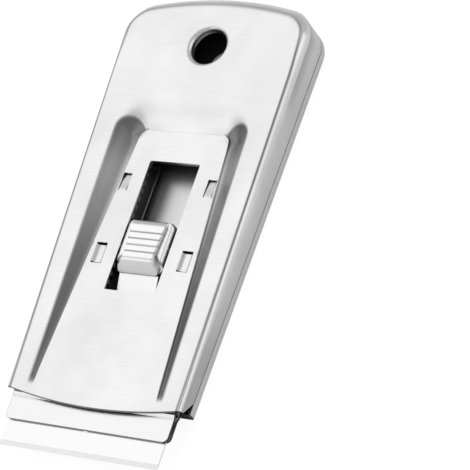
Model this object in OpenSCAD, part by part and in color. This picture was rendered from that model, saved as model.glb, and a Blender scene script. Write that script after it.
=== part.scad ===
// Pocket scraper for a single-edge razor blade: a pressed sheet-metal body of two shells,
// with a sliding blade holder that a ribbed thumb knob drives through a window.
// It lies on its back: X is across the blade, Y runs from the blade to the hanging end,
// Z points out of the front face. Millimetres.

/* [Body] */
// Length from the middle of the mouth to the hanging end
body_len = 97.2; // [88:0.2:112]
// Width across the hanging end
head_w = 47; // [44:0.5:54]
// Thickness at the hanging end
head_t = 10.6; // [8.5:0.1:13]
// Thickness of the pressed sheet
sheet_t = 0.6; // [0.5:0.05:0.8]
// Height of the back shell, up to the seam
back_h = 2.6; // [2.3:0.1:3]
// Radius of the two corners of the hanging end
corner_r = 7.5; // [4:0.5:10]
// Radius of the crowned edge of the hanging end
crown_r = 85; // [60:5:160]
// How far the mouth edge of the front shell bulges forward
mouth_bulge = 2.15; // [1:0.05:3]
// Plan width of the pressed shoulder at the hanging end
shoulder_head_w = 2; // [1.2:0.1:2.6]
// Plan width of the pressed shoulder at the mouth
shoulder_mouth_w = 1; // [0.7:0.1:1.4]
// Depth of the pressed shoulder at the hanging end
shoulder_head_h = 2.2; // [1.2:0.1:2.8]
// Depth of the pressed shoulder at the mouth
shoulder_mouth_h = 0.9; // [0.6:0.1:1.3]

/* [Hanging hole] */
// Radius of the hole through both shells
hole_r = 4.2; // [3:0.1:5]
// Distance of its centre from the hanging end
hole_from_end = 12.2; // [10.5:0.1:16]
// Radius of the rim that is rolled into the front face
rim_r = 1.2; // [0.9:0.05:1.5]

/* [Sunk panel] */
// Half width of the panel at its top edge
panel_top_hw = 11.25; // [11.1:0.05:12]
// Half width of the panel at the mouth end
panel_low_hw = 15.4; // [14.8:0.1:16]
// How far the panel edges bow outwards between these
panel_bow = 0.1; // [0:0.05:0.5]
// Distance of the top edge of the panel from the mouth
panel_top_y = 65.1; // [62:0.1:68]
// Radius of the two top corners of the panel
panel_corner_r = 2; // [1:0.1:3]
// Half width over the two grooves beside the panel
groove_hw = 16.9; // [16.2:0.1:18]
// Distance of the low end of the grooves from the mouth
groove_low_y = 3.3; // [3:0.1:6]
// Depth of the grooves below the panel
groove_d = 0.35; // [0.15:0.05:0.45]
// Length of the slope above the panel
slope_len = 7.3; // [5:0.1:10]
// Half width of the upper edge of that slope
slope_hw = 8.6; // [7:0.1:10]

/* [Window] */
// Width of the window for the knob
window_w = 12.6; // [12:0.1:14]
// Length of the window
window_len = 31.1; // [29.5:0.1:33]
// Distance of the window from the mouth
window_y = 26.5; // [25.6:0.1:28]

/* [Slide] */
// Pitch of the rack notches
rack_pitch = 2; // [1.9:0.05:2.05]
// Notches the knob goes forwards from the working place, to change the blade
forward_notches = 2; // [1:1:2]
// Notches it goes back, until the blade is inside
retract_notches = 7; // [5:1:7]
// Thickness of the rack plate and the two rails
rail_t = 0.5; // [0.4:0.05:0.6]
// Thickness of the carrier plate
carrier_t = 0.6; // [0.5:0.05:0.8]
// Thickness of the spring strip
strip_t = 0.4; // [0.3:0.05:0.5]
// Width of the spring strip
strip_w = 9.6; // [8:0.1:10.4]

/* [Knob] */
// Width of the knob at its base
knob_w = 11.6; // [10.4:0.1:11.8]
// Length of the knob at its base
knob_len = 12.1; // [11.2:0.1:12.3]
// Height of the knob above the spring strip
knob_h = 2.9; // [2.4:0.1:3.2]
// How far the knob presses down
press_travel = 1; // [0.6:0.05:1.1]
// Number of grooves across the knob
knob_grooves = 5; // [3:1:6]

/* [Blade] */
// Length of the cutting edge
blade_w = 39; // [37:0.5:41]
// Height of the blade from its edge to its back
blade_h = 19; // [18:0.1:20]
// Thickness of the blade
blade_t = 0.3; // [0.22:0.02:0.36]
// Height of the folded spine
spine_h = 7; // [6:0.1:7.5]
// Thickness of the folded spine
spine_t = 1; // [0.8:0.05:1.2]
// How far the edge stands out of the mouth in the working place
blade_reach = 10.1; // [9:0.1:11.5]

/* [Blade holder] */
// Thickness of the two leaves
leaf_t = 0.6; // [0.5:0.05:0.7]
// How far each leaf is wider than the blade, on either side
leaf_over = 0.5; // [0.3:0.05:0.8]
// How far the blade stands out of the front leaf
blade_out = 5.7; // [5:0.1:6.4]

/* [Hidden] */

// Clearances
side_gap = 0.45;      // holder to the lip of the back shell
lip_gap = 0.05;       // lip of the back shell to the wall of the front shell
seam_gap = 0.12;      // the open seam line between the shells
fit_gap = 0.02;       // a riveted or clamped piece in its hole or fold
grip_gap = 0.05;      // blade and spine to the leaves
slide_gap = 0.1;      // carrier plate to the rails, up and down
edge_gap = 0.5;       // carrier plate to the rails, sideways
mouth_gap = 0.25;     // front leaf to the front shell
lug_gap = 0.1;        // spring strip and its lugs to the rack
stem_gap = 0.05;      // stem of the knob in the spring strip
stop_gap = 0.1;       // carrier plate to the stops of the rails
knob_gap = 0.6;       // knob to the near end of the window, in the last notch forwards
pass_gap = 0.35;      // knob to the rack, sideways, and holder to the rails, lengthwise
over = 1;             // overrun of every cut

// Heights, stacked from the back
floor_gap = 1.85;
carrier_z = sheet_t + floor_gap;
back_leaf_z = carrier_z + carrier_t;
spine_z = back_leaf_z + leaf_t + grip_gap;
front_leaf_z = spine_z + spine_t + grip_gap;
blade_z = spine_z + (spine_t - blade_t) / 2;
mouth_t = front_leaf_z + leaf_t + mouth_gap + sheet_t;
panel_rise = 0.3;
panel_z = mouth_t + panel_rise;
rack_z = panel_z - sheet_t - rail_t;
strip_z = rack_z - lug_gap - strip_t;
knob_z = strip_z + strip_t;

// Places along the body, measured from the middle of the mouth
edge_y = -blade_reach;
leaf_y = edge_y + blade_out;
blade_top_y = edge_y + blade_h;
spine_y = blade_top_y - spine_h;
fold_t = (spine_t - blade_t) / 2 - fit_gap;
spine_top_y = blade_top_y + fit_gap + fold_t;
bend_len = 0.8;                       // length of a bend in a leaf
bend_y = spine_y - bend_len - 0.5 * bend_len;
tail_y = spine_top_y + bend_len;      // where the front leaf bends down to the back leaf
tail_len = 5;
rivet_y = tail_y + 2 * bend_len + tail_len / 2;
holder_end_y = rivet_y + tail_len / 2;
back_mouth_y = mouth_bulge + 0.35 * mouth_bulge;
forward_travel = forward_notches * rack_pitch;
retract_travel = retract_notches * rack_pitch;
knob_y = window_y + knob_gap + forward_travel;
knob_end_y = knob_y + knob_len;
carrier_end_y = knob_end_y + 1.2 * strip_t;

// Widths
leaf_w = blade_w + 2 * leaf_over;
lip_t = 0.5;
mouth_w = leaf_w + 2 * (side_gap + lip_t + lip_gap + sheet_t);
rack_hw = knob_w / 2 + pass_gap;      // half width between the tips of the rack
notch_d = 0.8;                        // depth of the rack notches
ledge_w = 1.9;                        // width of the ledge that carries the carrier plate
web_hw = window_w / 2 + ledge_w;      // half width between the webs of the rails
rack_out = panel_top_hw;              // half width of the rack plate
flange_w = rack_out - web_hw - rail_t;
carrier_w = 2 * (web_hw - edge_gap);

// The whole part is centred over its length
shift_y = -(body_len + edge_y) / 2;

// How finely the curves of the lofted forms are cut
steps = 9;
crown_steps = 5;
$fn = 40;

// Formulas of the body
function mix(a, b, f) = a + (b - a) * f;
function half_w(y) = mix(mouth_w, head_w, y / corner_cy) / 2;
function face_z(y) = mix(mouth_t, head_t, y / body_len);
function shoulder_h(y) = mix(shoulder_mouth_h, shoulder_head_h, y / body_len);
face_tilt = atan((head_t - mouth_t) / body_len);

// Centre of a corner arc of the hanging end, tangent to the crowned edge inside it
corner_cx = head_w / 2 - corner_r;
crown_cy = body_len - crown_r;
corner_cy = crown_cy + sqrt(pow(crown_r - corner_r, 2) - pow(corner_cx, 2));
join_angle = atan2(corner_cy - crown_cy, corner_cx);

// Shares of a side's length at which the rings of points below have one
side_shares = [0, 0.02, 0.12, 0.3, 0.5, 0.7, 0.88, 1];

// Right half of the outline, drawn in by d, from the open end at y0 up to the middle of the crown
function right_half(d, y0) = concat(
    [for (s = side_shares) let (y = mix(y0, corner_cy, s)) [half_w(y) - d, y]],
    [for (i = [1 : steps])
        let (a = join_angle * i / steps, r = corner_r - d)
        [corner_cx + r * cos(a), corner_cy + r * sin(a)]],
    [for (i = [1 : crown_steps])
        let (a = mix(join_angle, 90, i / crown_steps), r = crown_r - d)
        [r * cos(a), crown_cy + r * sin(a)]]);
function flip(points) = [for (i = [len(points) - 2 : -1 : 0]) [-points[i][0], points[i][1]]];
function outline(d, y0) = let (r = right_half(d, y0)) concat(r, flip(r));
function level(points, z) = [for (p = points) [p[0], p[1], z]];

// The open end of a shell is cut off. These are where its outside and its inside begin.
open_y = -over;
inner_open_y = -0.5 * over;

// A solid through rings of points that run counterclockwise, seen from above. Each ring holds
// an odd number of points and is its own mirror image, and each end is a fan round one point.
fan_share = 0.14;     // where that point lies, as a share of the ring's length
function ring_middle(r) =
    let (apex = r[(len(r) - 1) / 2])
    [0, mix(r[0][1], apex[1], fan_share), apex[2]];
module loft(rings) {
    n = len(rings[0]);
    m = len(rings);
    sides = [for (k = [0 : m - 2], i = [0 : n - 1])
        let (a = k * n + i, b = k * n + (i + 1) % n)
        each [[a, a + n, b + n], [a, b + n, b]]];
    ends = [for (i = [0 : n - 1])
        let (j = (i + 1) % n, a = (m - 1) * n)
        each [[m * n, i, j], [m * n + 1, a + j, a + i]]];
    polyhedron(
        points = concat([for (r = rings) each r],
                        [ring_middle(rings[0]), ring_middle(rings[m - 1])]),
        faces = concat(ends, sides));
}

// A plate with round corners
module round_plate(x0, x1, y0, y1, z, t, r) {
    translate([0, 0, z]) linear_extrude(t) {
        translate([x0 + r, y0]) square([x1 - x0 - 2 * r, y1 - y0]);
        translate([x0, y0 + r]) square([x1 - x0, y1 - y0 - 2 * r]);
        for (x = [x0 + r, x1 - r], y = [y0 + r, y1 - r])
            translate([x, y]) circle(r);
    }
}

// A side view in Y and Z, carried across the width w
module across(w) {
    translate([-w / 2, 0, 0]) rotate([90, 0, 90]) linear_extrude(w) children();
}

// A front view in X and Z, carried along Y from y0 to y1
module along(y0, y1) {
    translate([0, y1, 0]) rotate([90, 0, 0]) linear_extrude(y1 - y0) children();
}

// A flat rectangle between two points
module square_at(x0, x1, y0, y1) {
    translate([x0, y0]) square([x1 - x0, y1 - y0]);
}

// Moves a piece from the mouth's frame to the part's own frame
module place() {
    translate([0, shift_y, 0]) children();
}

// Shares of the shoulder's width and depth, from the wall to the face
shoulder_shares = [[0, 1], [0.1, 0.74], [0.35, 0.37], [0.65, 0.12], [1, 0]];

// Rings up one skin of the front shell, from the seam to the face. The inner skin is drawn in by d.
function shoulder_rings(d, y0) = concat(
    [level(outline(d, y0), back_h + seam_gap / 2)],
    [for (s = shoulder_shares)
        let (wall = outline(0, y0), narrow = outline(d + shoulder_mouth_w * s[0], y0),
             wide = outline(d + shoulder_head_w * s[0], y0))
        [for (i = [0 : len(wall) - 1])
            let (f = max(0, wall[i][1] / body_len), q = narrow[i] + (wide[i] - narrow[i]) * f)
            [q[0], q[1], face_z(q[1]) - d - shoulder_h(wall[i][1]) * s[1]]]]);

// Edge of the sunk panel, half width at a place y
function panel_hw(y) =
    let (f = (y - groove_low_y) / (panel_top_y - groove_low_y))
    mix(panel_low_hw, panel_top_hw, f) + 4 * panel_bow * f * (1 - f);

// The face dips softly towards the top edge of the panel. The dip ends along a straight line
// above the panel and an ellipse at either side, and soft_w is how far it goes past the grooves.
soft_w = 0.5;
dip_side = groove_hw + soft_w - slope_hw;
function s_curve(f) = let (g = min(max(f, 0), 1)) g * g * (3 - 2 * g);
function dipped_z(x, y) =
    face_z(y) - max(face_z(y) - panel_z, 0)
        * s_curve(1 - norm([max(abs(x) - slope_hw, 0) / dip_side,
                            max(y - panel_top_y, 0) / slope_len]));

// Stations round the right half of the sunk panel. Each holds a point on the panel's edge,
// a point on the outer edge of the groove, the share of the groove's depth that is there,
// and a point where the soft dip of the face begins.
groove_end_r = (groove_hw - panel_top_hw) / 2;
groove_end_y = panel_top_y - 0.2 * groove_end_r;
groove_end_angle = 150;
crease_w = 0.3;       // width of the crease along the panel's top edge
crease_share = 0.4;   // its depth, as a share of the groove's depth
// The first station's points are staggered, so that no three of them lie in line across the panel.
side_stations = [for (i = [0 : len(side_shares) - 1])
    let (y = mix(groove_low_y, groove_end_y - panel_corner_r, side_shares[i]))
    [[panel_hw(y), y + (i == 0 ? groove_d : 0)], [groove_hw, y], i == 0 ? 0 : 1,
     [groove_hw + soft_w, y - (i == 0 ? groove_d : 0)]]];
end_stations = [for (i = [1 : steps])
    let (a = 90 * i / steps,
         b = groove_end_angle * i / steps,
         cx = panel_hw(panel_top_y - panel_corner_r) - panel_corner_r,
         gx = groove_hw - groove_end_r)
    [[cx + panel_corner_r * cos(a), panel_top_y - panel_corner_r + panel_corner_r * sin(a)],
     [gx + groove_end_r * cos(b), groove_end_y + groove_end_r * sin(b)], 1,
     [slope_hw + dip_side * cos(a), panel_top_y + slope_len * sin(a)]]];
slope_shares = [0.8, 0.6, 0.4, 0.2, 0];
slope_stations = [for (s = slope_shares)
    let (x = (panel_top_hw - panel_corner_r) * s)
    [[x, panel_top_y], [x, panel_top_y + crease_w], crease_share,
     [slope_hw * s, panel_top_y + slope_len]]];
right_stations = concat(side_stations, end_stations, slope_stations);
function mirrored(p) = [-p[0], p[1]];
stations = concat(right_stations,
    [for (i = [len(right_stations) - 2 : -1 : 0])
        let (s = right_stations[i])
        [mirrored(s[0]), mirrored(s[1]), s[2], mirrored(s[3])]]);

// Shares of the way from where the dip begins to the groove, and shares of the wall's width
// and depth, from its outer edge down to the groove
dip_shares = [0, 0.33, 0.67];
wall_shares = [[0, 0], [0.1, 0.06], [0.45, 0.47], [0.88, 0.93]];
step_w = 0.15;        // width of the crisp step from the groove up to the panel
panel_mid_y = (panel_top_y + groove_low_y) / 2;

// Rings down one skin of the front shell, from the face to the panel. d lowers the inner skin.
function sunk_z(p, d) = min(panel_z, face_z(p[0][1])) - groove_d * p[2] - d;
function recess_rings(d) = concat(
    [for (s = dip_shares)
        [for (p = stations)
            let (q = p[3] + (p[1] - p[3]) * s)
            [q[0], q[1], mix(face_z(q[1]), dipped_z(q[0], q[1]), min(s / dip_shares[1], 1)) - d]]],
    [for (s = wall_shares)
        [for (p = stations)
            let (q = p[1] + (p[0] - p[1]) * s[0])
            [q[0], q[1], mix(dipped_z(p[1][0], p[1][1]) - d, sunk_z(p, d), s[1])]]],
    [[for (p = stations) [p[0][0], p[0][1], sunk_z(p, d)]]],
    [[for (p = stations)
        let (y = mix(p[0][1], panel_mid_y, step_w / (panel_top_y - panel_mid_y)))
        [p[0][0] * (1 - step_w / panel_top_hw), y, min(panel_z, face_z(y)) - d]]]);
function backwards(list) = [for (i = [len(list) - 1 : -1 : 0]) list[i]];

// The pressed sheet of the front shell: its inner skin, then its outer skin
module front_sheet() {
    loft(concat(
        backwards(concat(shoulder_rings(sheet_t, inner_open_y), recess_rings(sheet_t))),
        shoulder_rings(0, open_y), recess_rings(0)));
}

// The bulged mouth edge, as the space in front of it
module mouth_cut() {
    r = (pow(mouth_w / 2, 2) + pow(mouth_bulge, 2)) / (2 * mouth_bulge);
    translate([0, 0, -over]) linear_extrude(head_t + 2 * over) difference() {
        translate([-head_w, -head_w / 2]) square([2 * head_w, head_w / 2 + 2 * mouth_bulge]);
        translate([0, r]) circle(r, $fn = 180);
    }
}

// The notch in each side wall where the seam meets the mouth
notch_len = 3.4;      // how far its corner lies behind the mouth's corner
notch_slope = 1.27;   // how far it opens forwards for each unit of height
module seam_notch() {
    notch_y = mouth_bulge + notch_len;
    across(2 * head_w) polygon([
        [notch_y + notch_slope * back_h, 0],
        [-head_w, 0],
        [-head_w, head_w / notch_slope],
        [notch_y - head_w, back_h + head_w / notch_slope]]);
}

// Pressed tabs in the panel: two straps that the rack plate hooks over, and two tongues
strap_x = 10.75;      // middle of a strap
strap_w = 2.7;
strap_y = 32.3;
strap_len = 4.9;
strap_band = 3.3;     // length of the metal bridge in its slot
strap_drop = 0.65;
tongue_x = 10.7;
tongue_w = 1.8;
tongue_y = 49.9;
tongue_len = 4.3;
slit = 0.2;           // gap round a tongue

module strap() {
    x0 = strap_x - strap_w / 2;
    y0 = strap_y + (strap_len - strap_band) / 2;
    slant = strap_drop * 0.9;
    along(y0, y0 + strap_band) polygon([
        [x0 - fit_gap, panel_z], [x0 + slant, panel_z - strap_drop],
        [x0 + strap_w - slant, panel_z - strap_drop], [x0 + strap_w + fit_gap, panel_z],
        [x0 + strap_w + fit_gap, panel_z - sheet_t],
        [x0 + strap_w - slant, panel_z - strap_drop - sheet_t],
        [x0 + slant, panel_z - strap_drop - sheet_t], [x0 - fit_gap, panel_z - sheet_t]]);
}

module tongue() {
    y1 = tongue_y + tongue_len;
    translate([tongue_x, 0, 0]) across(tongue_w) polygon([
        [tongue_y - fit_gap, panel_z], [y1 - slit, panel_z - strap_drop],
        [y1 - slit, panel_z - strap_drop - sheet_t], [tongue_y - fit_gap, panel_z - sheet_t]]);
}

module panel_openings() {
    translate([-window_w / 2, window_y, panel_z - sheet_t - over])
        cube([window_w, window_len, sheet_t + 2 * over]);
    for (side = [0, 1]) mirror([side, 0, 0]) {
        translate([strap_x - strap_w / 2, strap_y, panel_z - sheet_t - over])
            cube([strap_w, strap_len, sheet_t + 2 * over]);
        translate([tongue_x - tongue_w / 2 - slit, tongue_y, panel_z - sheet_t - over])
            cube([tongue_w + 2 * slit, tongue_len, sheet_t + 2 * over]);
    }
}

hole_y = body_len - hole_from_end;
rim_depth = 1.7 * rim_r;

// The rim: the face rolls in on rim_r and goes on as a short sleeve. Its outer edge runs on
// inside the thickness of the sheet, which is cut back to it.
roll_angle = 75;
function roll(r) = [for (i = [0 : steps])
    let (a = roll_angle * i / steps)
    [hole_r + rim_r - r * cos(a), r * sin(a) - rim_r]];
module rolled_rim() {
    outside = roll(rim_r);
    inside = roll(rim_r - sheet_t);
    translate([0, hole_y, face_z(hole_y)]) rotate([face_tilt, 0, 0])
        rotate_extrude($fn = 72) polygon(concat(
            [[hole_r - 0.1 * rim_r, -rim_depth], [hole_r - 0.1 * rim_r, -rim_r]],
            outside,
            [[hole_r + 1.1 * rim_r, outside[steps][1]], [hole_r + 1.1 * rim_r, inside[steps][1]]],
            backwards(inside),
            [[hole_r + sheet_t, -rim_depth]]));
}

module front_shell() {
    color("lightgray") place() difference() {
        union() {
            difference() {
                front_sheet();
                panel_openings();
                translate([0, hole_y, back_h])
                    cylinder(r = hole_r + 0.8 * rim_r, h = head_t, $fn = 72);
            }
            rolled_rim();
            for (side = [0, 1]) mirror([side, 0, 0]) {
                strap();
                tongue();
            }
        }
        mouth_cut();
        seam_notch();
        translate([0, hole_y, back_h]) cylinder(r = hole_r, h = head_t, $fn = 72);
    }
}

// The back shell: a shallow tray with rounded edges, and a lip that the front shell slips over
back_edge_r = 0.9;
lip_h = 1.3;
lip_depth = 0.9;
function edge_rings(d, y0) = [for (i = [0 : steps / 3])
    let (a = 90 * i / (steps / 3), r = back_edge_r - d)
    level(outline(d + r - r * sin(a), y0), back_edge_r - r * cos(a))];

module tray() {
    lip_d = sheet_t + lip_gap;
    loft(concat(
        edge_rings(0, open_y),
        [level(outline(0, open_y), back_h - seam_gap / 2),
         level(outline(lip_d, 0.8 * open_y), back_h - seam_gap / 2),
         level(outline(lip_d, 0.8 * open_y), back_h + lip_h),
         level(outline(lip_d + lip_t, 0.3 * open_y), back_h + lip_h),
         level(outline(lip_d + lip_t, 0.3 * open_y), back_h - lip_depth),
         level(outline(sheet_t, inner_open_y), back_h - lip_depth)],
        backwards(edge_rings(sheet_t, inner_open_y))));
}

module back_shell() {
    color("silver") place() difference() {
        tray();
        translate([-head_w, -head_w / 2, -over])
            cube([2 * head_w, head_w / 2 + back_mouth_y, head_t]);
        translate([0, hole_y, -over]) cylinder(r = hole_r, h = head_t, $fn = 72);
    }
}

// The rack plate: a frame welded under the panel, with notches along both sides of its opening
rack_bar = 1.5;       // width of its end bars
rack_y = window_y - rack_bar;
rack_end_y = window_y + window_len + rack_bar;
module rack_plate() {
    notches = floor((window_len - rack_pitch) / rack_pitch);
    color("gainsboro") place() translate([0, 0, rack_z]) linear_extrude(rail_t) difference() {
        translate([-rack_out, rack_y]) square([2 * rack_out, rack_end_y - rack_y]);
        translate([-rack_hw, window_y]) square([2 * rack_hw, window_len]);
        for (side = [-1, 1], i = [0 : notches])
            translate([side * (rack_hw + notch_d / 2), window_y + rack_pitch * (i + 0.5)])
                square([notch_d + 2 * fit_gap, rack_pitch / 2], center = true);
        for (side = [0, 1]) mirror([side, 0]) {
            translate([strap_x - strap_w / 2 - fit_gap, strap_y - fit_gap])
                square([rack_out, strap_len + 2 * fit_gap]);
            translate([tongue_x - tongue_w / 2 - slit, tongue_y - fit_gap])
                square([rack_out, tongue_len + 2 * fit_gap]);
        }
    }
}

// A rail: a flange welded to the rack plate, a web, and a ledge for the carrier plate.
// Its far end is bent in as a stop.
rail_y = tail_y + retract_travel + pass_gap;
rail_end_y = window_y + window_len + 0.5 * rack_bar;
stop_y = carrier_end_y + retract_travel + stop_gap;
ledge_z = carrier_z - slide_gap - rail_t;
module rail() {
    web_h = rack_z - ledge_z;
    along(rail_y, rail_end_y) {
        translate([web_hw, rack_z - rail_t]) square([rail_t + flange_w, rail_t]);
        translate([web_hw, ledge_z]) square([rail_t, web_h]);
        translate([web_hw - ledge_w, ledge_z]) square([ledge_w + rail_t, rail_t]);
    }
    translate([web_hw - ledge_w, stop_y, ledge_z])
        cube([ledge_w + rail_t, rail_t, rail_t + carrier_t + 3 * slide_gap]);
}

module left_rail() {
    color("darkgray") place() mirror([1, 0, 0]) difference() {
        rail();
        tab_room();
    }
}
module right_rail() {
    color("darkgray") place() difference() {
        rail();
        tab_room();
    }
}

// Room in a rail's flange for the strap and the tongue that reach through the rack plate
module tab_room() {
    room = 2 * slide_gap;
    translate([strap_x - strap_w / 2 - room, strap_y - room, rack_z - rail_t - room])
        cube([strap_w + flange_w, strap_len + 2 * room, rail_t + 2 * room]);
    translate([tongue_x - tongue_w / 2 - slit - room, tongue_y - room, rack_z - rail_t - room])
        cube([tongue_w + flange_w, tongue_len + 2 * room, rail_t + 2 * room]);
}

// Rivets: where they stand, and their shape
rivet_r = 1;
head_r = 1.7;
rivet_head_h = 0.45;
holder_rivet_x = 4.4;
strip_rivet_x = 2.3;
strip_foot_y = holder_end_y + head_r;
strip_rivet_y = strip_foot_y + 1.4 * head_r;

module rivet(z0, z1) {
    translate([0, 0, z0 - rivet_head_h]) cylinder(r1 = 0.8 * head_r, r2 = head_r, h = rivet_head_h);
    translate([0, 0, z0 - fit_gap]) cylinder(r = rivet_r, h = z1 - z0 + 2 * fit_gap);
    translate([0, 0, z1]) cylinder(r1 = head_r, r2 = 0.7 * head_r, h = rivet_head_h);
}

module rivet_holes(x, y) {
    for (side = [-1, 1])
        translate([side * x, y, 0]) cylinder(r = rivet_r + fit_gap, h = head_t);
}

// The carrier plate: its front end carries the holder, and its sides run in the two rails
carrier_y = spine_y + 0.4 * spine_h;
module carrier_plate() {
    color("silver") place() difference() {
        round_plate(-carrier_w / 2, carrier_w / 2, carrier_y, carrier_end_y,
                    carrier_z, carrier_t, bend_len);
        rivet_holes(holder_rivet_x, rivet_y);
        rivet_holes(strip_rivet_x, strip_rivet_y);
        translate([0, stem_y, carrier_z - over]) cylinder(r = washer_r + slide_gap, h = carrier_t + 2 * over);
    }
}

// The spring strip: riveted to the carrier plate at its foot, it climbs to the knob
// and holds its two lugs up in the notches of the rack
ramp_len = 6;
strip_end_y = knob_end_y - strip_t;
ramp_y = knob_y - 0.88 * ramp_len;
lug_share = 0.42;     // length of a lug, as a share of the rack's pitch
lug_notch = floor((knob_len / 2 + knob_y - window_y) / rack_pitch);
lug_y = window_y + rack_pitch * (lug_notch + 0.5);
stem_y = lug_y;
stem_r = 1.3;
module spring_strip() {
    foot_z = carrier_z + carrier_t;
    color("white") place() difference() {
        union() {
            across(strip_w) polygon([
                [strip_foot_y, foot_z], [ramp_y, foot_z], [ramp_y + ramp_len, strip_z],
                [strip_end_y, strip_z], [strip_end_y, strip_z + strip_t],
                [ramp_y + ramp_len - 0.3 * strip_t, strip_z + strip_t],
                [ramp_y - 0.3 * strip_t, foot_z + strip_t], [strip_foot_y, foot_z + strip_t]]);
            along(lug_y - lug_share * rack_pitch / 2, lug_y + lug_share * rack_pitch / 2)
                for (side = [0, 1]) mirror([side, 0]) {
                    square_at(0, rack_hw + notch_d - lug_gap, strip_z, strip_z + strip_t);
                    square_at(rack_hw + lug_gap, rack_hw + notch_d - lug_gap,
                              strip_z, rack_z + rail_t - lug_gap);
                }
        }
        rivet_holes(strip_rivet_x, strip_rivet_y);
        translate([0, stem_y, strip_z - over]) cylinder(r = stem_r + stem_gap, h = strip_t + 2 * over);
    }
}

module strip_rivets() {
    color("gray") place() for (side = [-1, 1]) translate([side * strip_rivet_x, strip_rivet_y, 0])
        rivet(carrier_z, carrier_z + carrier_t + strip_t);
}

module holder_rivets() {
    color("gray") place() for (side = [-1, 1]) translate([side * holder_rivet_x, rivet_y, 0])
        rivet(carrier_z, carrier_z + carrier_t + 2 * leaf_t);
}

// The thumb knob: a ribbed top with steep sides on a wider domed foot, and a stem below
knob_top_w = 8.3;
knob_taper = 0.5;     // how much narrower each side of the ribbed top is in front
knob_front = 2.1;     // length of its front slope
knob_back = 1.9;      // length of its rounded back
groove_r = 0.2;
knob_corner_r = 1.5;
washer_r = 2.2;
washer_t = 0.4;
stem_drop = strip_t + washer_t + 0.5 * rivet_head_h;

// Rings up the knob. Each holds shares: how much of the foot's overhang is left, how far the
// front slope and the rounded back have come, the height, and the corner radius.
knob_shares = [
    [1, 0, 0, 0, 1],
    [1, 0, 0, 0.15, 1],
    [0.93, 0.38, 0.08, 0.42, 0.8],
    [0.5, 0.6, 0.4, 0.61, 0.5],
    [0.08, 0.7, 0.5, 0.66, 0.3],
    [0.02, 0.94, 0.85, 0.93, 0.3],
    [0, 1, 1, 1, 0.25]];

// A rectangle at the height z as a ring of points, its front corners drawn out along Y and
// drawn in by t
function knob_ring(w, t, y0, y1, r, z) =
    let (k = steps / 3,
         right = concat(
             [for (i = [0 : k]) let (a = -90 + 90 * i / k)
                 [w / 2 - t - r + r * cos(a), y0 + 2 * r + 2 * r * sin(a), z]],
             [for (i = [0 : k]) let (a = 90 * i / k)
                 [w / 2 - r + r * cos(a), y1 - r + r * sin(a), z]]))
    concat(right, [[0, y1, z]],
           [for (i = [len(right) - 1 : -1 : 0]) [-right[i][0], right[i][1], z]]);

module thumb_knob() {
    top = knob_z + knob_h;
    rib_y = knob_y + knob_front;
    rib_pitch = (knob_len - knob_front - knob_back) / (knob_grooves + 0.35);
    color("whitesmoke") place() {
        difference() {
            loft([for (s = knob_shares)
                knob_ring(mix(knob_top_w, knob_w, s[0]), mix(knob_taper, 0, s[0]),
                          knob_y + knob_front * s[1],
                          knob_end_y - knob_back * s[2], knob_corner_r * s[4],
                          mix(knob_z + fit_gap, top, s[3]))]);
            for (i = [0 : knob_grooves - 1])
                translate([-knob_w / 2, rib_y + rib_pitch * (i + 0.35), top + 0.25 * groove_r])
                    rotate([0, 90, 0]) cylinder(r = groove_r, h = knob_w, $fn = 16);
        }
        translate([0, stem_y, knob_z - stem_drop])
            cylinder(r = stem_r, h = stem_drop + knob_h / 2);
    }
}

// The washer under the spring strip, over which the stem is riveted
module knob_washer() {
    color("gray") place() translate([0, stem_y, strip_z - fit_gap - washer_t]) difference() {
        cylinder(r = washer_r, h = washer_t);
        translate([0, 0, -over]) cylinder(r = stem_r + fit_gap, h = washer_t + 2 * over);
    }
}

// The leaves: each is flat over the spine and bends in to grip the blade ahead of it
leaf_corner_r = 1.2;
grip_in = spine_z + spine_t / 2 - blade_t / 2 - grip_gap - (back_leaf_z + leaf_t);
module leaf_outline(y0) {
    round_plate(-leaf_w / 2, leaf_w / 2, y0, tail_y, 0, head_t, leaf_corner_r);
    translate([-carrier_w / 2, tail_y - bend_len, 0])
        cube([carrier_w, holder_end_y - tail_y + bend_len, head_t]);
}

module back_leaf() {
    z = back_leaf_z;
    y0 = leaf_y + 0.5 * leaf_t;
    color("silver") place() difference() {
        intersection() {
            across(leaf_w) polygon([
                [y0, z + grip_in], [bend_y, z + grip_in], [bend_y + bend_len, z],
                [holder_end_y, z], [holder_end_y, z + leaf_t], [bend_y + bend_len, z + leaf_t],
                [bend_y, z + leaf_t + grip_in], [y0, z + leaf_t + grip_in]]);
            leaf_outline(y0);
        }
        rivet_holes(holder_rivet_x, rivet_y);
    }
    color("silver") place() for (side = [-1, 1])
        translate([side * key_x, key_y, blade_z - grip_gap - fit_gap])
            cylinder(r = pip_r, h = fit_gap + grip_gap + 0.8 * blade_t);
}

module front_leaf() {
    z = front_leaf_z;
    tail_z = back_leaf_z + leaf_t;
    color("white") place() difference() {
        intersection() {
            across(leaf_w) polygon([
                [leaf_y, z - grip_in], [bend_y, z - grip_in], [bend_y + bend_len, z],
                [tail_y, z], [tail_y + 2 * bend_len, tail_z], [holder_end_y, tail_z],
                [holder_end_y, tail_z + leaf_t], [tail_y + 2 * bend_len + 0.3 * leaf_t, tail_z + leaf_t],
                [tail_y + 0.3 * leaf_t, z + leaf_t], [bend_y + bend_len, z + leaf_t],
                [bend_y, z + leaf_t - grip_in], [leaf_y, z + leaf_t - grip_in]]);
            leaf_outline(leaf_y);
        }
        rivet_holes(holder_rivet_x, rivet_y);
    }
}

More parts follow.
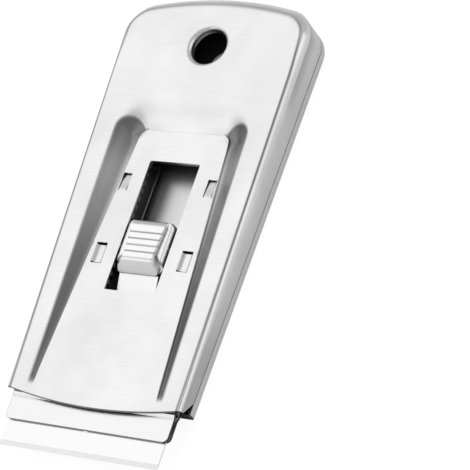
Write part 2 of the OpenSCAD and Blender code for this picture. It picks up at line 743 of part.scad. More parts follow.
// The blade: ground to an edge, with a middle slot and a keyhole notch at each side
bevel_len = 1.1;
edge_t = 0.04;
slot_w = 2.7;
slot_len = 6.5;
key_r = 1.2;          // radius of the round inner end of a side notch
key_depth = 3.7;
key_x = blade_w / 2 - key_depth + key_r;
key_y = spine_y - 1.6 * key_r;
pip_r = 0.75 * key_r; // radius of the pip of the back leaf in it
module blade() {
    z = blade_z;
    mid = z + blade_t / 2;
    color("white") place() difference() {
        across(blade_w) polygon([
            [edge_y, mid - edge_t / 2], [edge_y + bevel_len, z], [blade_top_y, z],
            [blade_top_y, z + blade_t], [edge_y + bevel_len, z + blade_t],
            [edge_y, mid + edge_t / 2]]);
        translate([0, 0, z - over]) linear_extrude(blade_t + 2 * over) {
            translate([-slot_w / 2, spine_y - slot_len + slot_w / 2])
                square([slot_w, slot_len - slot_w / 2 + 2 * slot_w]);
            translate([0, spine_y - slot_len + slot_w / 2]) circle(slot_w / 2);
            for (side = [0, 1]) mirror([side, 0]) {
                translate([key_x, key_y]) circle(key_r);
                polygon([[key_x, key_y + 0.6 * key_r], [key_x, key_y - 0.6 * key_r],
                         [key_x + 1.2 * key_r, key_y - 0.7 * key_r],
                         [blade_w / 2 + over, key_y - 2.4 * key_r],
                         [blade_w / 2 + over, key_y + 1.5 * key_r],
                         [key_x + 1.2 * key_r, key_y + 0.7 * key_r]]);
            }
        }
    }
}

// The spine: sheet folded over the back of the blade and pressed tight, with two dimples
dimple_r = 1.15;
dimple_x = 0.4 * blade_w;
module blade_spine() {
    z = spine_z;
    inner_w = blade_w - 2 * fit_gap;
    chamfer = 1;
    color("gainsboro") place() difference() {
        intersection() {
            across(inner_w) polygon([
                [spine_y, z], [spine_top_y - 0.4 * fold_t, z], [spine_top_y, z + 0.4 * fold_t],
                [spine_top_y, z + spine_t - 0.4 * fold_t], [spine_top_y - 0.4 * fold_t, z + spine_t],
                [spine_y, z + spine_t], [spine_y, z + spine_t - fold_t],
                [blade_top_y + fit_gap, z + spine_t - fold_t], [blade_top_y + fit_gap, z + fold_t],
                [spine_y, z + fold_t]]);
            translate([0, 0, z - over]) linear_extrude(spine_t + 2 * over) polygon([
                [-inner_w / 2 + chamfer, spine_y], [inner_w / 2 - chamfer, spine_y],
                [inner_w / 2, spine_y + chamfer], [inner_w / 2, spine_top_y],
                [-inner_w / 2, spine_top_y], [-inner_w / 2, spine_y + chamfer]]);
        }
        for (side = [-1, 1]) translate([side * dimple_x, spine_y + spine_h / 2, z + spine_t + 0.6 * dimple_r])
            sphere(r = 0.75 * dimple_r);
    }
}

front_shell();
back_shell();
rack_plate();
left_rail();
right_rail();
carrier_plate();
spring_strip();
strip_rivets();
thumb_knob();
knob_washer();
back_leaf();
front_leaf();
holder_rivets();
blade();
blade_spine();
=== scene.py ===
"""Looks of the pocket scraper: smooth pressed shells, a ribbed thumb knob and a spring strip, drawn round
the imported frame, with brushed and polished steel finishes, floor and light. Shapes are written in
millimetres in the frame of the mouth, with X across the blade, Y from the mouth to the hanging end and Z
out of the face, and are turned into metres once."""

import math
from types import SimpleNamespace

import bmesh
import bpy
import numpy as np
from mathutils import Matrix, Vector
from mathutils.geometry import delaunay_2d_cdt


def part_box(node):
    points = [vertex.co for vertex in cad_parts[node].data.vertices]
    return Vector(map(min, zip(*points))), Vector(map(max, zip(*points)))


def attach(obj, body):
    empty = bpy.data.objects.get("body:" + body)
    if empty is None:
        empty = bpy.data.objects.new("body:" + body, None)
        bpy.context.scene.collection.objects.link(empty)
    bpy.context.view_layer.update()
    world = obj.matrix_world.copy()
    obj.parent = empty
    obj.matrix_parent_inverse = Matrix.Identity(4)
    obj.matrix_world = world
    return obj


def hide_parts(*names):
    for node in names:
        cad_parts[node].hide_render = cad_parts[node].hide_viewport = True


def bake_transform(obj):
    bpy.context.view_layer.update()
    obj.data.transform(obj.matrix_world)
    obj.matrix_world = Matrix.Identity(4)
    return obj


bl_info = {
    "name": "Pocket scraper looks",
    "version": (1, 0, 0),
    "blender": (4, 5, 0),
    "location": "3D View > Sidebar > Scraper",
    "description": "Smooth metal pieces and finishes of a pocket blade scraper",
    "category": "Object",
}

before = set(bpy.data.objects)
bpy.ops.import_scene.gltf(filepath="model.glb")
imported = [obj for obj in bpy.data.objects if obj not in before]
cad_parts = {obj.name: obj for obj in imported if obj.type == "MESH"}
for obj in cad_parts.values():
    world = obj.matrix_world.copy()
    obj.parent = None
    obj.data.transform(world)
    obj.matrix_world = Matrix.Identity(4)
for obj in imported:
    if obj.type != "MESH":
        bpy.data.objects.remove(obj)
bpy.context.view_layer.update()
MM = 0.001

# Case, with the sizes of the part's source
BODY_LEN = 97.2
HEAD_W = 47.0
HEAD_T = 10.6
MOUTH_W = 43.2
MOUTH_T = 6.2
MOUTH_BULGE = 2.15
BACK_H = 2.6
CORNER_R = 7.5
CROWN_R = 85.0
BLADE_REACH = 10.1
SHIFT_Y = -(BODY_LEN - BLADE_REACH) / 2

# Meshes: doubles closer than MERGE_WITHIN metres are merged. INSIDE_ONLY asks for a flat field's
# triangles within its edges, and corners within FIELD_PRECISION of each other count as one.
MERGE_WITHIN = 2e-6
INSIDE_ONLY = 1
FIELD_PRECISION = 1e-7
NEVER_ZERO = 1e-9


# Curves and surfaces

def mix(a, b, f):
    """a where f is 0 and b where f is 1, in proportion between."""
    return a + (b - a) * f


def smooth(f):
    """An S from 0 to 1: three f squared less two f cubed, held at both ends."""
    f = np.clip(f, 0, 1)
    return f * f * (3 - 2 * f)


def bell(away, width):
    """1 where away is 0 and less to both sides: e to the power of minus its square, in widths."""
    return np.exp(-(away / width) ** 2)


def soft_min(values, sharpness):
    """The least of several fields with its creases rounded: minus the logarithm of the sum of
    exponentials of minus each field."""
    return -np.log(sum(np.exp(-sharpness * v) for v in values)) / sharpness


def place(points):
    """Points in the mouth's frame in millimetres, as the frame's metres."""
    return (np.asarray(points, dtype=float) + [0, SHIFT_Y, 0]) * MM


def placed_y(y):
    """A place along the case in millimetres, as the frame's metres."""
    return float(place([0, y, 0])[1])


def circle_arc(centre, radius, start, stop, count):
    """count points on an arc about centre from start to stop, in degrees, both included."""
    a = np.radians(np.linspace(start, stop, count))
    return np.stack([centre[0] + radius * np.cos(a), centre[1] + radius * np.sin(a)], 1)


def circle(centre, radius, count):
    """count points evenly round a circle."""
    return circle_arc(centre, radius, 0, 360, count + 1)[:-1]


def rounded_box(x0, x1, y0, y1, r, count=5):
    """A rectangle with round corners of count points each, counterclockwise."""
    corners = ((x1 - r, y0 + r), (x1 - r, y1 - r), (x0 + r, y1 - r), (x0 + r, y0 + r))
    return np.concatenate([circle_arc(corner, r, 90 * k - 90, 90 * k, count)
                           for k, corner in enumerate(corners)])


def mirrored(right):
    """A line up the right side to the middle, carried on down the left side as its mirror image."""
    return np.concatenate([right, right[-2::-1] * [-1, 1]])


def inside(points, loop):
    """Whether each point lies inside a loop, by counting the sides that a ray to +X crosses."""
    loop = np.asarray(loop, dtype=float)
    a, b = loop, np.roll(loop, -1, axis=0)
    x, y = points[:, :1], points[:, 1:2]
    spans = (a[:, 1] > y) != (b[:, 1] > y)
    rise = np.where(b[:, 1] == a[:, 1], 1.0, b[:, 1] - a[:, 1])
    crossing = a[:, 0] + (y - a[:, 1]) / rise * (b[:, 0] - a[:, 0])
    return (spans & (x < crossing)).sum(1) % 2 == 1


def weld(mesh):
    """Merges the mesh's doubled points."""
    welded = bmesh.new()
    welded.from_mesh(mesh)
    bmesh.ops.remove_doubles(welded, verts=welded.verts, dist=MERGE_WITHIN)
    welded.to_mesh(mesh)
    welded.free()


class Surface:
    """Points and faces that are gathered from grids and flat fields, then made one mesh."""

    def __init__(self):
        self.points = []
        self.faces = []
        self.count = 0

    def add(self, points, faces):
        """Takes in points, and faces whose numbers start at the first of them."""
        self.points.append(points)
        self.faces += (faces + self.count).tolist()
        self.count += len(points)

    def grid(self, points, loop=False):
        """Points in rows and columns, with a quad between each four. loop closes the rows."""
        rows, columns = points.shape[:2]
        i = np.arange(rows * columns).reshape(rows, columns)
        if loop:
            i = np.concatenate([i, i[:, :1]], 1)
        quads = np.stack([i[:-1, :-1], i[:-1, 1:], i[1:, 1:], i[1:, :-1]], -1)
        self.add(points.reshape(-1, 3), quads.reshape(-1, 4))

    def field(self, border, holes, height, creases=(), down=False):
        """A flat field inside border and outside holes, in triangles with sides along the creases.
        height gives Z from X and Y, and down turns the faces down."""
        corners, edges = [], []
        for loop in (border, *holes):
            first = len(corners)
            corners += [Vector(p) for p in loop]
            edges += [(first + k, first + (k + 1) % len(loop)) for k in range(len(loop))]
        for crease in creases:
            edges.append((len(corners), len(corners) + 1))
            corners += [Vector(p) for p in crease]
        corners, _, faces, _, _, _ = delaunay_2d_cdt(corners, edges, [], INSIDE_ONLY, FIELD_PRECISION)
        xy = np.array([(corner.x, corner.y) for corner in corners])
        triangles = np.array(faces)
        middle = xy[triangles].mean(1)
        keep = inside(middle, border)
        for hole in holes:
            keep &= ~inside(middle, hole)
        triangles = triangles[keep]
        first, second, third = (xy[triangles[:, k]] for k in range(3))
        a, b = second - first, third - first
        flip = (a[:, 0] * b[:, 1] - a[:, 1] * b[:, 0] < 0) != down
        triangles[flip] = triangles[flip][:, ::-1]
        self.add(np.column_stack([xy, height(*xy.T)]), triangles)

    def build(self, name, wall=0.0, sharp=40.0):
        """The mesh as an object, its doubles merged. A wall thicker than 0 grows inwards, and
        folds of more than sharp degrees stay sharp."""
        mesh = bpy.data.meshes.new(name)
        mesh.from_pydata(place(np.concatenate(self.points)).tolist(), [], self.faces)
        weld(mesh)
        obj = bpy.data.objects.new(name, mesh)
        bpy.context.scene.collection.objects.link(obj)
        if wall > 0:
            solid = obj.modifiers.new("wall", "SOLIDIFY")
            solid.thickness = wall * MM
            solid.offset = -1
            thick = bpy.data.meshes.new_from_object(
                obj.evaluated_get(bpy.context.evaluated_depsgraph_get()))
            obj.modifiers.clear()
            obj.data = thick
            bpy.data.meshes.remove(mesh)
        obj.data.polygons.foreach_set("use_smooth", np.ones(len(obj.data.polygons), dtype=bool))
        obj.data.set_sharp_from_angle(angle=math.radians(sharp))
        normals = obj.modifiers.new("flat faces lead", "WEIGHTED_NORMAL")
        normals.weight = 100
        normals.keep_sharp = True
        return obj


def mark(obj, tone, inner=None):
    """Stores the painted shade of each point, from its X, Y and Z, as the attribute that darkens a finish.
    inner is the painted shade of a walled sheet's inner skin, whose points come second."""
    mesh = obj.data
    co = np.empty(len(mesh.vertices) * 3)
    mesh.vertices.foreach_get("co", co)
    co = co.reshape(-1, 3) / MM - [0, SHIFT_Y, 0]
    tones = tone(*co.T).astype(np.float32)
    if inner is not None:
        tones[len(tones) // 2:] = inner
    mesh.attributes.new("tone", "FLOAT", "POINT").data.foreach_set("value", tones)


# Outline and face of the case
CORNER_X = HEAD_W / 2 - CORNER_R
CROWN_Y = BODY_LEN - CROWN_R
CORNER_Y = CROWN_Y + math.sqrt((CROWN_R - CORNER_R) ** 2 - CORNER_X ** 2)
JOIN = math.degrees(math.atan2(CORNER_Y - CROWN_Y, CORNER_X))
MOUTH_ARC_R = ((MOUTH_W / 2) ** 2 + MOUTH_BULGE ** 2) / (2 * MOUTH_BULGE)
SIDE_N, CORNER_N, CROWN_N, SIDE_POWER = 40, 26, 14, 1.5
SIDE_SHARES = np.linspace(0, 1, SIDE_N) ** SIDE_POWER


def half_width(y):
    """Half width of the case at a place along it."""
    return mix(MOUTH_W, HEAD_W, np.asarray(y) / CORNER_Y) / 2


def face_z(y):
    """Height of the sloping front face."""
    return mix(MOUTH_T, HEAD_T, np.asarray(y) / BODY_LEN)


def mouth_y(x):
    """The bulged mouth edge of the front shell: an arc across it."""
    return MOUTH_ARC_R - np.sqrt(MOUTH_ARC_R ** 2 - np.asarray(x) ** 2)


def outline(d, y0):
    """The case's outline drawn in by d, open at y0: straight sides, round corners and a crowned
    end, as X and Y."""
    y = mix(y0, CORNER_Y, SIDE_SHARES)
    return mirrored(np.concatenate([
        np.stack([half_width(y) - d, y], 1),
        circle_arc((CORNER_X, CORNER_Y), CORNER_R - d, 0, JOIN, CORNER_N + 1)[1:],
        circle_arc((0, CROWN_Y), CROWN_R - d, JOIN, 90, CROWN_N + 1)[1:]]))


def level_ring(d, y0, z):
    """The outline drawn in by d and open at y0, at height z."""
    ring = outline(d, y0)
    return np.column_stack([ring, np.full(len(ring), float(z))])


def edge_distance(x, y):
    """How far a place lies inside the case's outline: from its sides, corner arcs or crown."""
    side = half_width(y) - np.abs(x)
    corner = CORNER_R - np.hypot(np.abs(x) - CORNER_X, y - CORNER_Y)
    crown = CROWN_R - np.hypot(x, y - CROWN_Y)
    on_crown = np.arctan2(y - CROWN_Y, np.abs(x)) > math.radians(JOIN)
    return np.where(on_crown, crown, np.where(y > CORNER_Y, corner, side))


# Wall and shoulder of the front shell. Pairs are for the mouth and for the hanging end. The last rings lie
# on the face, so that the crease's painted shade stays narrow.
SHOULDER_W = (1.0, 2.0)
SHOULDER_H = (0.9, 2.2)
SHOULDER_POWER = 2.6
SHOULDER_N = 15
FACE_RING_SHARES = (1.1, 1.2, 1.35, 1.6)
WALL_BELOW_SHOULDER = 0.3
WALL_TOP_Z = MOUTH_T - SHOULDER_H[0] - WALL_BELOW_SHOULDER
WALL_N = 4
NOTCH_LEN, NOTCH_SLOPE = 3.4, 1.27
NOTCH_Y = MOUTH_BULGE + NOTCH_LEN
TOP_Z = float(face_z(BODY_LEN - SHOULDER_W[1]))
MOUTH_N = 40


def notch_y(z):
    """The open end of the wall, a notch that slants forwards with its height."""
    return NOTCH_Y - NOTCH_SLOPE * (z - BACK_H)


def shoulder_ring(s, size):
    """A ring of the pressed shoulder: s is 0 on the wall and from 1 on the face. Its width goes
    as s and its fall as (1 - s) to the power 2.6; at the crown it is wider and falls less. It
    stays below the highest place of the face."""
    side_y = outline(0, 0)[:, 1:]
    f = np.clip(side_y / BODY_LEN, 0, 1)
    crown = smooth((side_y - CORNER_Y) / CORNER_R)
    drop = mix(mix(*SHOULDER_H, f), size.crown_fall, crown)[:, 0] * max(1 - s, 0) ** SHOULDER_POWER
    y0 = max(notch_y(float(face_z(0) - drop[0])), float(mouth_y(MOUTH_W / 2 - SHOULDER_W[0] * s)))
    ring = mix(outline(SHOULDER_W[0] * s, y0), outline(SHOULDER_W[1] * s, y0), f)
    ring = mix(ring, outline(size.crown_width * s, y0), crown)
    return np.column_stack([ring, np.minimum(face_z(ring[:, 1]) - drop, TOP_Z)])


# Sunk panel: its height, its half widths at its top and low ends, and its two top corners
PANEL_Z = 6.5
PANEL_TOP_HW, PANEL_LOW_HW, PANEL_BOW = 11.25, 15.4, 0.1
PANEL_TOP_Y, PANEL_CORNER_R = 65.1, 2.0
# The line near the mouth where the level panel meets the sloping face
BEND_Y = BODY_LEN * (PANEL_Z - MOUTH_T) / (HEAD_T - MOUTH_T)
BEND_HW = 15.0
# The two grooves: half width over both, low end, and the round ends, which pass the panel's top
GROOVE_HW, GROOVE_LOW_Y = 16.9, 3.3
GROOVE_END_R, GROOVE_PAST_PANEL = 3.5, 2.3
GROOVE_X, GROOVE_END_Y = GROOVE_HW - GROOVE_END_R, PANEL_TOP_Y + GROOVE_PAST_PANEL - GROOVE_END_R
# How soon a groove is at its depth from its side and from its low end
GROOVE_SIDE_W, GROOVE_RUN_OUT = 0.8, 1.2
# The dip: its length above the panel, the half width of its straight edge, and its reach past the
# grooves. The crease along the panel's top is as deep as a share of the grooves.
SLOPE_LEN, SLOPE_HW, SOFT_W = 8.0, 8.6, 0.5
DIP_SIDE = GROOVE_HW + SOFT_W - SLOPE_HW
CREASE_W, CREASE_SHARE = 0.35, 0.3
RECESS_SHARPNESS = 12.0
# The crisp step up to the panel, which is narrower where it is lower
STEP_W, STEP_GAIN = 0.15, 4
PANEL_SIDE_N, PANEL_CORNER_N, PANEL_TOP_N = 70, 90, 40
RECESS_N, RECESS_POWER, STEP_N = 46, 1.7, 4


def panel_half_width(y):
    """Half width of the panel: a straight taper that bows out by a parabola."""
    f = (y - GROOVE_LOW_Y) / (PANEL_TOP_Y - GROOVE_LOW_Y)
    return mix(PANEL_LOW_HW, PANEL_TOP_HW, f) + 4 * PANEL_BOW * f * (1 - f)


def panel_z(y):
    """Height of the panel: level, and at the mouth the sloping face."""
    return np.minimum(PANEL_Z, face_z(y))


# The panel's corner, and where a groove's round end, turned by DOME_END, meets it
PANEL_CORNER_Y = PANEL_TOP_Y - PANEL_CORNER_R
PANEL_CORNER_X = float(panel_half_width(PANEL_CORNER_Y)) - PANEL_CORNER_R
DOME_END = math.radians(162)
CUSP = (GROOVE_X + GROOVE_END_R * math.cos(DOME_END), GROOVE_END_Y + GROOVE_END_R * math.sin(DOME_END))


def dipped_z(x, y):
    """The face with its soft dip. It falls to the panel's height at the panel's top edge, as an S
    of the distance to a straight line above the panel and to a quarter ellipse at either side."""
    away = np.hypot(np.maximum(np.abs(x) - SLOPE_HW, 0) / DIP_SIDE,
                    np.maximum(y - PANEL_TOP_Y, 0) / SLOPE_LEN)
    return face_z(y) - np.maximum(face_z(y) - PANEL_Z, 0) * smooth(1 - away)


def groove_inside(x, y):
    """How far a place lies inside a groove's outer outline: from its round end, which turns to
    the panel's corner, or below it from its straight side and from that corner."""
    turn = np.arctan2(y - GROOVE_END_Y, x - GROOVE_X)
    below = np.minimum(GROOVE_HW - x, np.hypot(x - CUSP[0], y - CUSP[1]))
    return np.where((turn > 0) & (turn < DOME_END) | (y > CUSP[1]),
                    GROOVE_END_R - np.hypot(x - GROOVE_X, y - GROOVE_END_Y), below)


def panel_away(x, y):
    """How far a place lies outside the panel's edge: from its side, round corner or top."""
    corner = np.hypot(np.maximum(x - PANEL_CORNER_X, 0), y - PANEL_CORNER_Y) - PANEL_CORNER_R
    return np.where(y > PANEL_CORNER_Y, corner, x - panel_half_width(y))


def recess_z(x, y, depth):
    """Round the panel the dipped face falls to the groove's floor, depth below the panel. It goes
    by half a straight line and half an S of the share of the way from the groove's outline, or
    that of a narrow crease along the panel's top, to the panel's edge."""
    x = np.abs(x)
    groove, away = groove_inside(x, y), np.maximum(panel_away(x, y), 0)
    within = np.maximum(-soft_min([-groove, away - CREASE_W], RECESS_SHARPNESS), 0)
    s = within / np.maximum(within + away, NEVER_ZERO)
    deep = mix(CREASE_SHARE, 1, smooth(groove / GROOVE_SIDE_W))
    floor = panel_z(y) - depth * deep * smooth((y - GROOVE_LOW_Y) / GROOVE_RUN_OUT)
    return mix(dipped_z(x, y), floor, (s + smooth(s)) / 2)


def panel_loops():
    """The panel's edge and the dip's outline, point for point: a side, a round corner and the top
    to its middle, and their mirror image."""
    f = np.linspace(0, 1, PANEL_SIDE_N)
    turn = np.radians(np.linspace(0, 90, PANEL_CORNER_N + 1)[1:])
    u = np.linspace(1, 0, PANEL_TOP_N + 1)[1:]
    y = mix(GROOVE_LOW_Y, PANEL_CORNER_Y, f)
    edge = np.concatenate([
        np.stack([panel_half_width(y), y], 1),
        PANEL_CORNER_R * np.stack([np.cos(turn), np.sin(turn)], 1) + [PANEL_CORNER_X, PANEL_CORNER_Y],
        np.stack([PANEL_CORNER_X * u, np.full_like(u, PANEL_TOP_Y)], 1)])
    dip = np.concatenate([
        np.stack([np.full_like(f, GROOVE_HW + SOFT_W), mix(GROOVE_LOW_Y, PANEL_TOP_Y, f)], 1),
        np.stack([SLOPE_HW + DIP_SIDE * np.cos(turn), PANEL_TOP_Y + SLOPE_LEN * np.sin(turn)], 1),
        np.stack([SLOPE_HW * u, np.full_like(u, PANEL_TOP_Y + SLOPE_LEN)], 1)])
    return mirrored(edge), mirrored(dip)


# Window and the four pressed tabs of the panel: two straps low down, two tongues above them
WINDOW_W, WINDOW_LEN, WINDOW_Y, WINDOW_R = 12.6, 31.1, 26.5, 0.35
STRAP_X, STRAP_W, STRAP_Y, STRAP_LEN, STRAP_R = 10.75, 2.7, 32.3, 4.9, 0.2
STRAP_BAND, STRAP_RAMP_SHARE = 4.1, 0.9
STRAP_ACROSS_N, STRAP_ALONG_N = 25, 9
TONGUE_X, TONGUE_W, TONGUE_Y, TONGUE_LEN, TONGUE_R = 10.7, 1.8, 49.9, 4.3, 0.15
TONGUE_SLIT, TONGUE_POWER = 0.2, 1.3
TONGUE_ACROSS_N, TONGUE_ALONG_N = 9, 17
TAB_DROP = 0.65


def panel_cuts():
    """The window and the cuts of the four tabs, as rectangles with round corners."""
    cuts = [rounded_box(-WINDOW_W / 2, WINDOW_W / 2, WINDOW_Y, WINDOW_Y + WINDOW_LEN, WINDOW_R)]
    for side in (-1, 1):
        for x, half, y, length, r in (
                (STRAP_X, STRAP_W / 2, STRAP_Y, STRAP_LEN, STRAP_R),
                (TONGUE_X, TONGUE_W / 2 + TONGUE_SLIT, TONGUE_Y, TONGUE_LEN, TONGUE_R)):
            cuts.append(rounded_box(side * x - half, side * x + half, y, y + length, r))
    return cuts


def tabs(shell):
    """The two straps, dipped between their ends by a soft trapezium, and the two tongues, which
    slope down from their lower end as the way along to the power 1.3."""
    for side in (-1, 1):
        x, y = np.meshgrid(
            np.linspace(-STRAP_W / 2, STRAP_W / 2, STRAP_ACROSS_N),
            STRAP_Y + (STRAP_LEN - STRAP_BAND) / 2 + np.linspace(0, STRAP_BAND, STRAP_ALONG_N))
        dip = TAB_DROP * smooth((STRAP_W / 2 - np.abs(x)) / (STRAP_RAMP_SHARE * TAB_DROP))
        shell.grid(np.stack([x + side * STRAP_X, y, PANEL_Z - dip], -1))
        x, y = np.meshgrid(np.linspace(-TONGUE_W / 2, TONGUE_W / 2, TONGUE_ACROSS_N),
                           np.linspace(0, TONGUE_LEN - TONGUE_SLIT, TONGUE_ALONG_N))
        dip = TAB_DROP * (y / TONGUE_LEN) ** TONGUE_POWER
        shell.grid(np.stack([x + side * TONGUE_X, y + TONGUE_Y, PANEL_Z - dip], -1))


def sunk_panel(shell, depth):
    """The dip and the grooves between the dip's outline and the panel's edge, the crisp step up
    to the panel, a quarter of a sine, and the flat panel with its cuts. Returns the outline."""
    edge, dip = panel_loops()
    rings = []
    for s in np.linspace(1, 0, RECESS_N):
        p = mix(edge, dip, s ** RECESS_POWER)
        rings.append(np.column_stack([p, recess_z(*p.T, depth)]))
    low = rings[-1][:, 2]
    deep = (panel_z(edge[:, 1]) - low) / depth
    middle = np.array([0, (PANEL_TOP_Y + GROOVE_LOW_Y) / 2])
    draw_in = np.array([STEP_W / PANEL_TOP_HW, 2 * STEP_W / (PANEL_TOP_Y - GROOVE_LOW_Y)]) \
        * np.minimum(STEP_GAIN * deep, 1)[:, None]
    for s in np.linspace(0, 1, STEP_N + 1)[1:]:
        p = edge + (middle - edge) * draw_in * s
        rings.append(np.column_stack([p, mix(low, panel_z(p[:, 1]), math.sin(s * math.pi / 2))]))
    shell.grid(np.array(rings))
    bend = ((-BEND_HW, BEND_Y), (BEND_HW, BEND_Y))
    shell.field(rings[-1][:, :2], panel_cuts(), lambda x, y: panel_z(y), creases=[bend])
    return rings[0][:, :2]


# Hanging hole
HOLE_R, HOLE_Y, HOLE_N = 4.2, 85.0, 96
RIM_N, SLEEVE_SHARE = 12, 1.7
FACE_TILT = math.atan((HEAD_T - MOUTH_T) / BODY_LEN)


def rim_ring(radius, drop):
    """A circle about the hanging hole in the plane of the face, sunk by drop."""
    x, y = circle((0, 0), radius, HOLE_N).T
    return np.stack([x, HOLE_Y + y * math.cos(FACE_TILT) + drop * math.sin(FACE_TILT),
                     face_z(HOLE_Y) + y * math.sin(FACE_TILT) - drop * math.cos(FACE_TILT)], 1)


def rolled_rim(shell, radius):
    """The rim: a quarter circle that turns the face down into a short sleeve. Returns its edge."""
    rings = [rim_ring(HOLE_R + radius * (1 - math.cos(a)), radius * (1 - math.sin(a)))
             for a in np.linspace(math.pi / 2, 0, RIM_N)]
    rings.append(rim_ring(HOLE_R, SLEEVE_SHARE * radius))
    shell.grid(np.array(rings), loop=True)
    return rings[0][:, :2]


def front_shell(size):
    """The front shell: wall, shoulder, face, sunk panel, tabs and rolled rim, as one sheet."""
    shell = Surface()
    rings = [level_ring(0, notch_y(z), z) for z in np.linspace(BACK_H + size.seam / 2, WALL_TOP_Z, WALL_N)]
    rings += [shoulder_ring(s, size) for s in (*np.linspace(0, 1, SHOULDER_N), *FACE_RING_SHARES)]
    shell.grid(np.array(rings))
    face = rings[-1][:, :2]
    front = np.linspace(face[-1, 0], face[0, 0], MOUTH_N)[1:-1]
    border = np.concatenate([face, np.stack([front, mouth_y(front)], 1)])
    hole = rolled_rim(shell, size.rim)
    panel = sunk_panel(shell, size.groove)
    shell.field(border, [panel, hole], lambda x, y: face_z(y))
    tabs(shell)
    return shell.build("front_shell_sheet", wall=size.sheet)


# Painted shade in the grooves: how dark it is and what share of it is taken off at a painted bright place,
# that place in Y with its reach above and below it, and how soft the grooves' two edges are
GROOVE_DARK, GROOVE_BRIGHT_SHARE = 0.96, 0.46
GROOVE_BRIGHT_Y, GROOVE_BRIGHT_ABOVE, GROOVE_BRIGHT_BELOW = 54, 7, 18
GROOVE_SOFT_W, GROOVE_SOFT_SHARE, GROOVE_CRISP_W = 0.9, 0.25, 0.1
# Painted shade beside each dome, its place and its reach, and the painted dark line on the step at the
# corner
DOME_SHADE, DOME_SHADE_AT, DOME_SHADE_REACH = 0.13, (8.5, PANEL_TOP_Y + 0.3), (2.6, 1.3)
STEP_LINE_W, STEP_LINE_IN, STEP_LINE_FROM = 0.16, 0.05, (CUSP[0] - 0.3, PANEL_CORNER_Y - 1)
# Painted shade along the shoulder's crease: how dark, how wide, its distance from the edge before and past
# the place where it moves in, and how much of it fades round the crown
SHOULDER_LINE_SHADE, SHOULDER_LINE_W, SHOULDER_LINE_IN, SHOULDER_LINE_MOVES_Y, SHOULDER_LINE_CROWN_FADE = 0.9, 0.24, (1.05, 1.8), 78, 0.8
# Painted shade on the fold at the top of the wall and on the wall itself, and how much darker the wall is
# painted at the mouth. Widths and the start of the wall are shares of the shoulder's fall.
FOLD_DARK, FOLD_W, FOLD_FROM_Y = 0.5, (0.12, 0.3), 66
WALL_DARK, WALL_FROM, WALL_LOW_DARK, WALL_LOW_Y, WALL_LOW_LEN = 0.1, 0.5, 0.25, 34, 26
# The length over which the painted shades rise along the case, and how near its outline its wall lies
TONE_RISE = 14
ON_WALL = 0.3
# Painted shade on the tabs: how dark, where the straps' shade starts and how it rises, as shares of their
# half width, where the tongues' rises, as a share of their length, and what counts as sunk
STRAP_DARK, STRAP_FROM, STRAP_RISE = 0.45, 0.3, 0.4
TONGUE_DARK, TONGUE_RISE = 0.42, 0.2
TAB_SUNK = 0.01


def groove_shade(x, y):
    """Painted shade in the grooves: even between their soft outer edge and their crisp edge along the
    panel, less a painted bright bell along them that reaches further below its middle than above it. A
    soft bell of painted shade lies on the slope beside each dome, and a thin painted dark line on the step
    at the panel's corner."""
    x = np.abs(x)
    away = panel_away(x, y)
    shade = DOME_SHADE * bell(x - DOME_SHADE_AT[0], DOME_SHADE_REACH[0]) \
        * bell(y - DOME_SHADE_AT[1], DOME_SHADE_REACH[1]) * (y > PANEL_TOP_Y)
    step = smooth(1 - np.abs(away + STEP_LINE_IN) / STEP_LINE_W) \
        * (x > STEP_LINE_FROM[0]) * (y > STEP_LINE_FROM[1])
    shape = smooth(groove_inside(x, y) / GROOVE_SOFT_W + GROOVE_SOFT_SHARE) \
        * smooth(away / GROOVE_CRISP_W + 1) * smooth((y - GROOVE_LOW_Y) / GROOVE_RUN_OUT)
    reach = np.where(y > GROOVE_BRIGHT_Y, GROOVE_BRIGHT_ABOVE, GROOVE_BRIGHT_BELOW)
    groove = GROOVE_DARK * shape * (1 - GROOVE_BRIGHT_SHARE * bell(y - GROOVE_BRIGHT_Y, reach))
    return np.maximum.reduce([groove, step, shade])


def shoulder_shade(x, y, z):
    """Painted shade along the shoulder's crease, a bell across it that fades towards the crown, on the top
    of the wall near both ends, and on the upright wall, more towards the mouth."""
    away = edge_distance(x, y)
    on_wall = away < ON_WALL
    crease = bell(away - mix(*SHOULDER_LINE_IN, smooth((y - SHOULDER_LINE_MOVES_Y) / TONE_RISE)), SHOULDER_LINE_W)
    crease *= 1 - SHOULDER_LINE_CROWN_FADE * smooth((y - CORNER_Y) / CORNER_R)
    fall = (face_z(y) - z) / mix(*SHOULDER_H, np.clip(y / BODY_LEN, 0, 1))
    low = smooth((WALL_LOW_Y - y) / WALL_LOW_LEN)
    wall = smooth(fall - WALL_FROM) * (WALL_DARK + WALL_LOW_DARK * low) * on_wall
    at_ends = np.maximum(smooth((y - FOLD_FROM_Y) / TONE_RISE), low)
    fold = bell(fall - 1, mix(*FOLD_W, low)) * at_ends * on_wall
    return np.maximum.reduce([SHOULDER_LINE_SHADE * crease, FOLD_DARK * fold, wall]) * (z > BACK_H)


def tab_shade(x, y, z):
    """Painted shade on the sunk tabs: beside the straps' middle, and on the tongues towards their root."""
    x = np.abs(x)
    across = np.abs(x - STRAP_X) / (STRAP_W / 2)
    along = (y - STRAP_Y) / STRAP_LEN
    on_strap = (across < 1) & (along > 0) & (along < 1)
    strap = STRAP_DARK * smooth((across - STRAP_FROM) / STRAP_RISE) * on_strap
    along = (y - TONGUE_Y) / TONGUE_LEN
    on_tongue = (np.abs(x - TONGUE_X) < TONGUE_W / 2) & (along > 0) & (along < 1)
    tongue = TONGUE_DARK * (1 - along) * smooth(along / TONGUE_RISE) * on_tongue
    return np.maximum(strap, tongue) * (PANEL_Z - z > TAB_SUNK)


def front_shade(x, y, z):
    """The darkest of the front shell's painted shades."""
    return np.maximum.reduce([groove_shade(x, y), shoulder_shade(x, y, z), tab_shade(x, y, z)])


# Back shell
BACK_EDGE_R, BACK_EDGE_N = 0.9, 9
BACK_MOUTH_SHARE = 1.35
BACK_MOUTH_Y = BACK_MOUTH_SHARE * MOUTH_BULGE
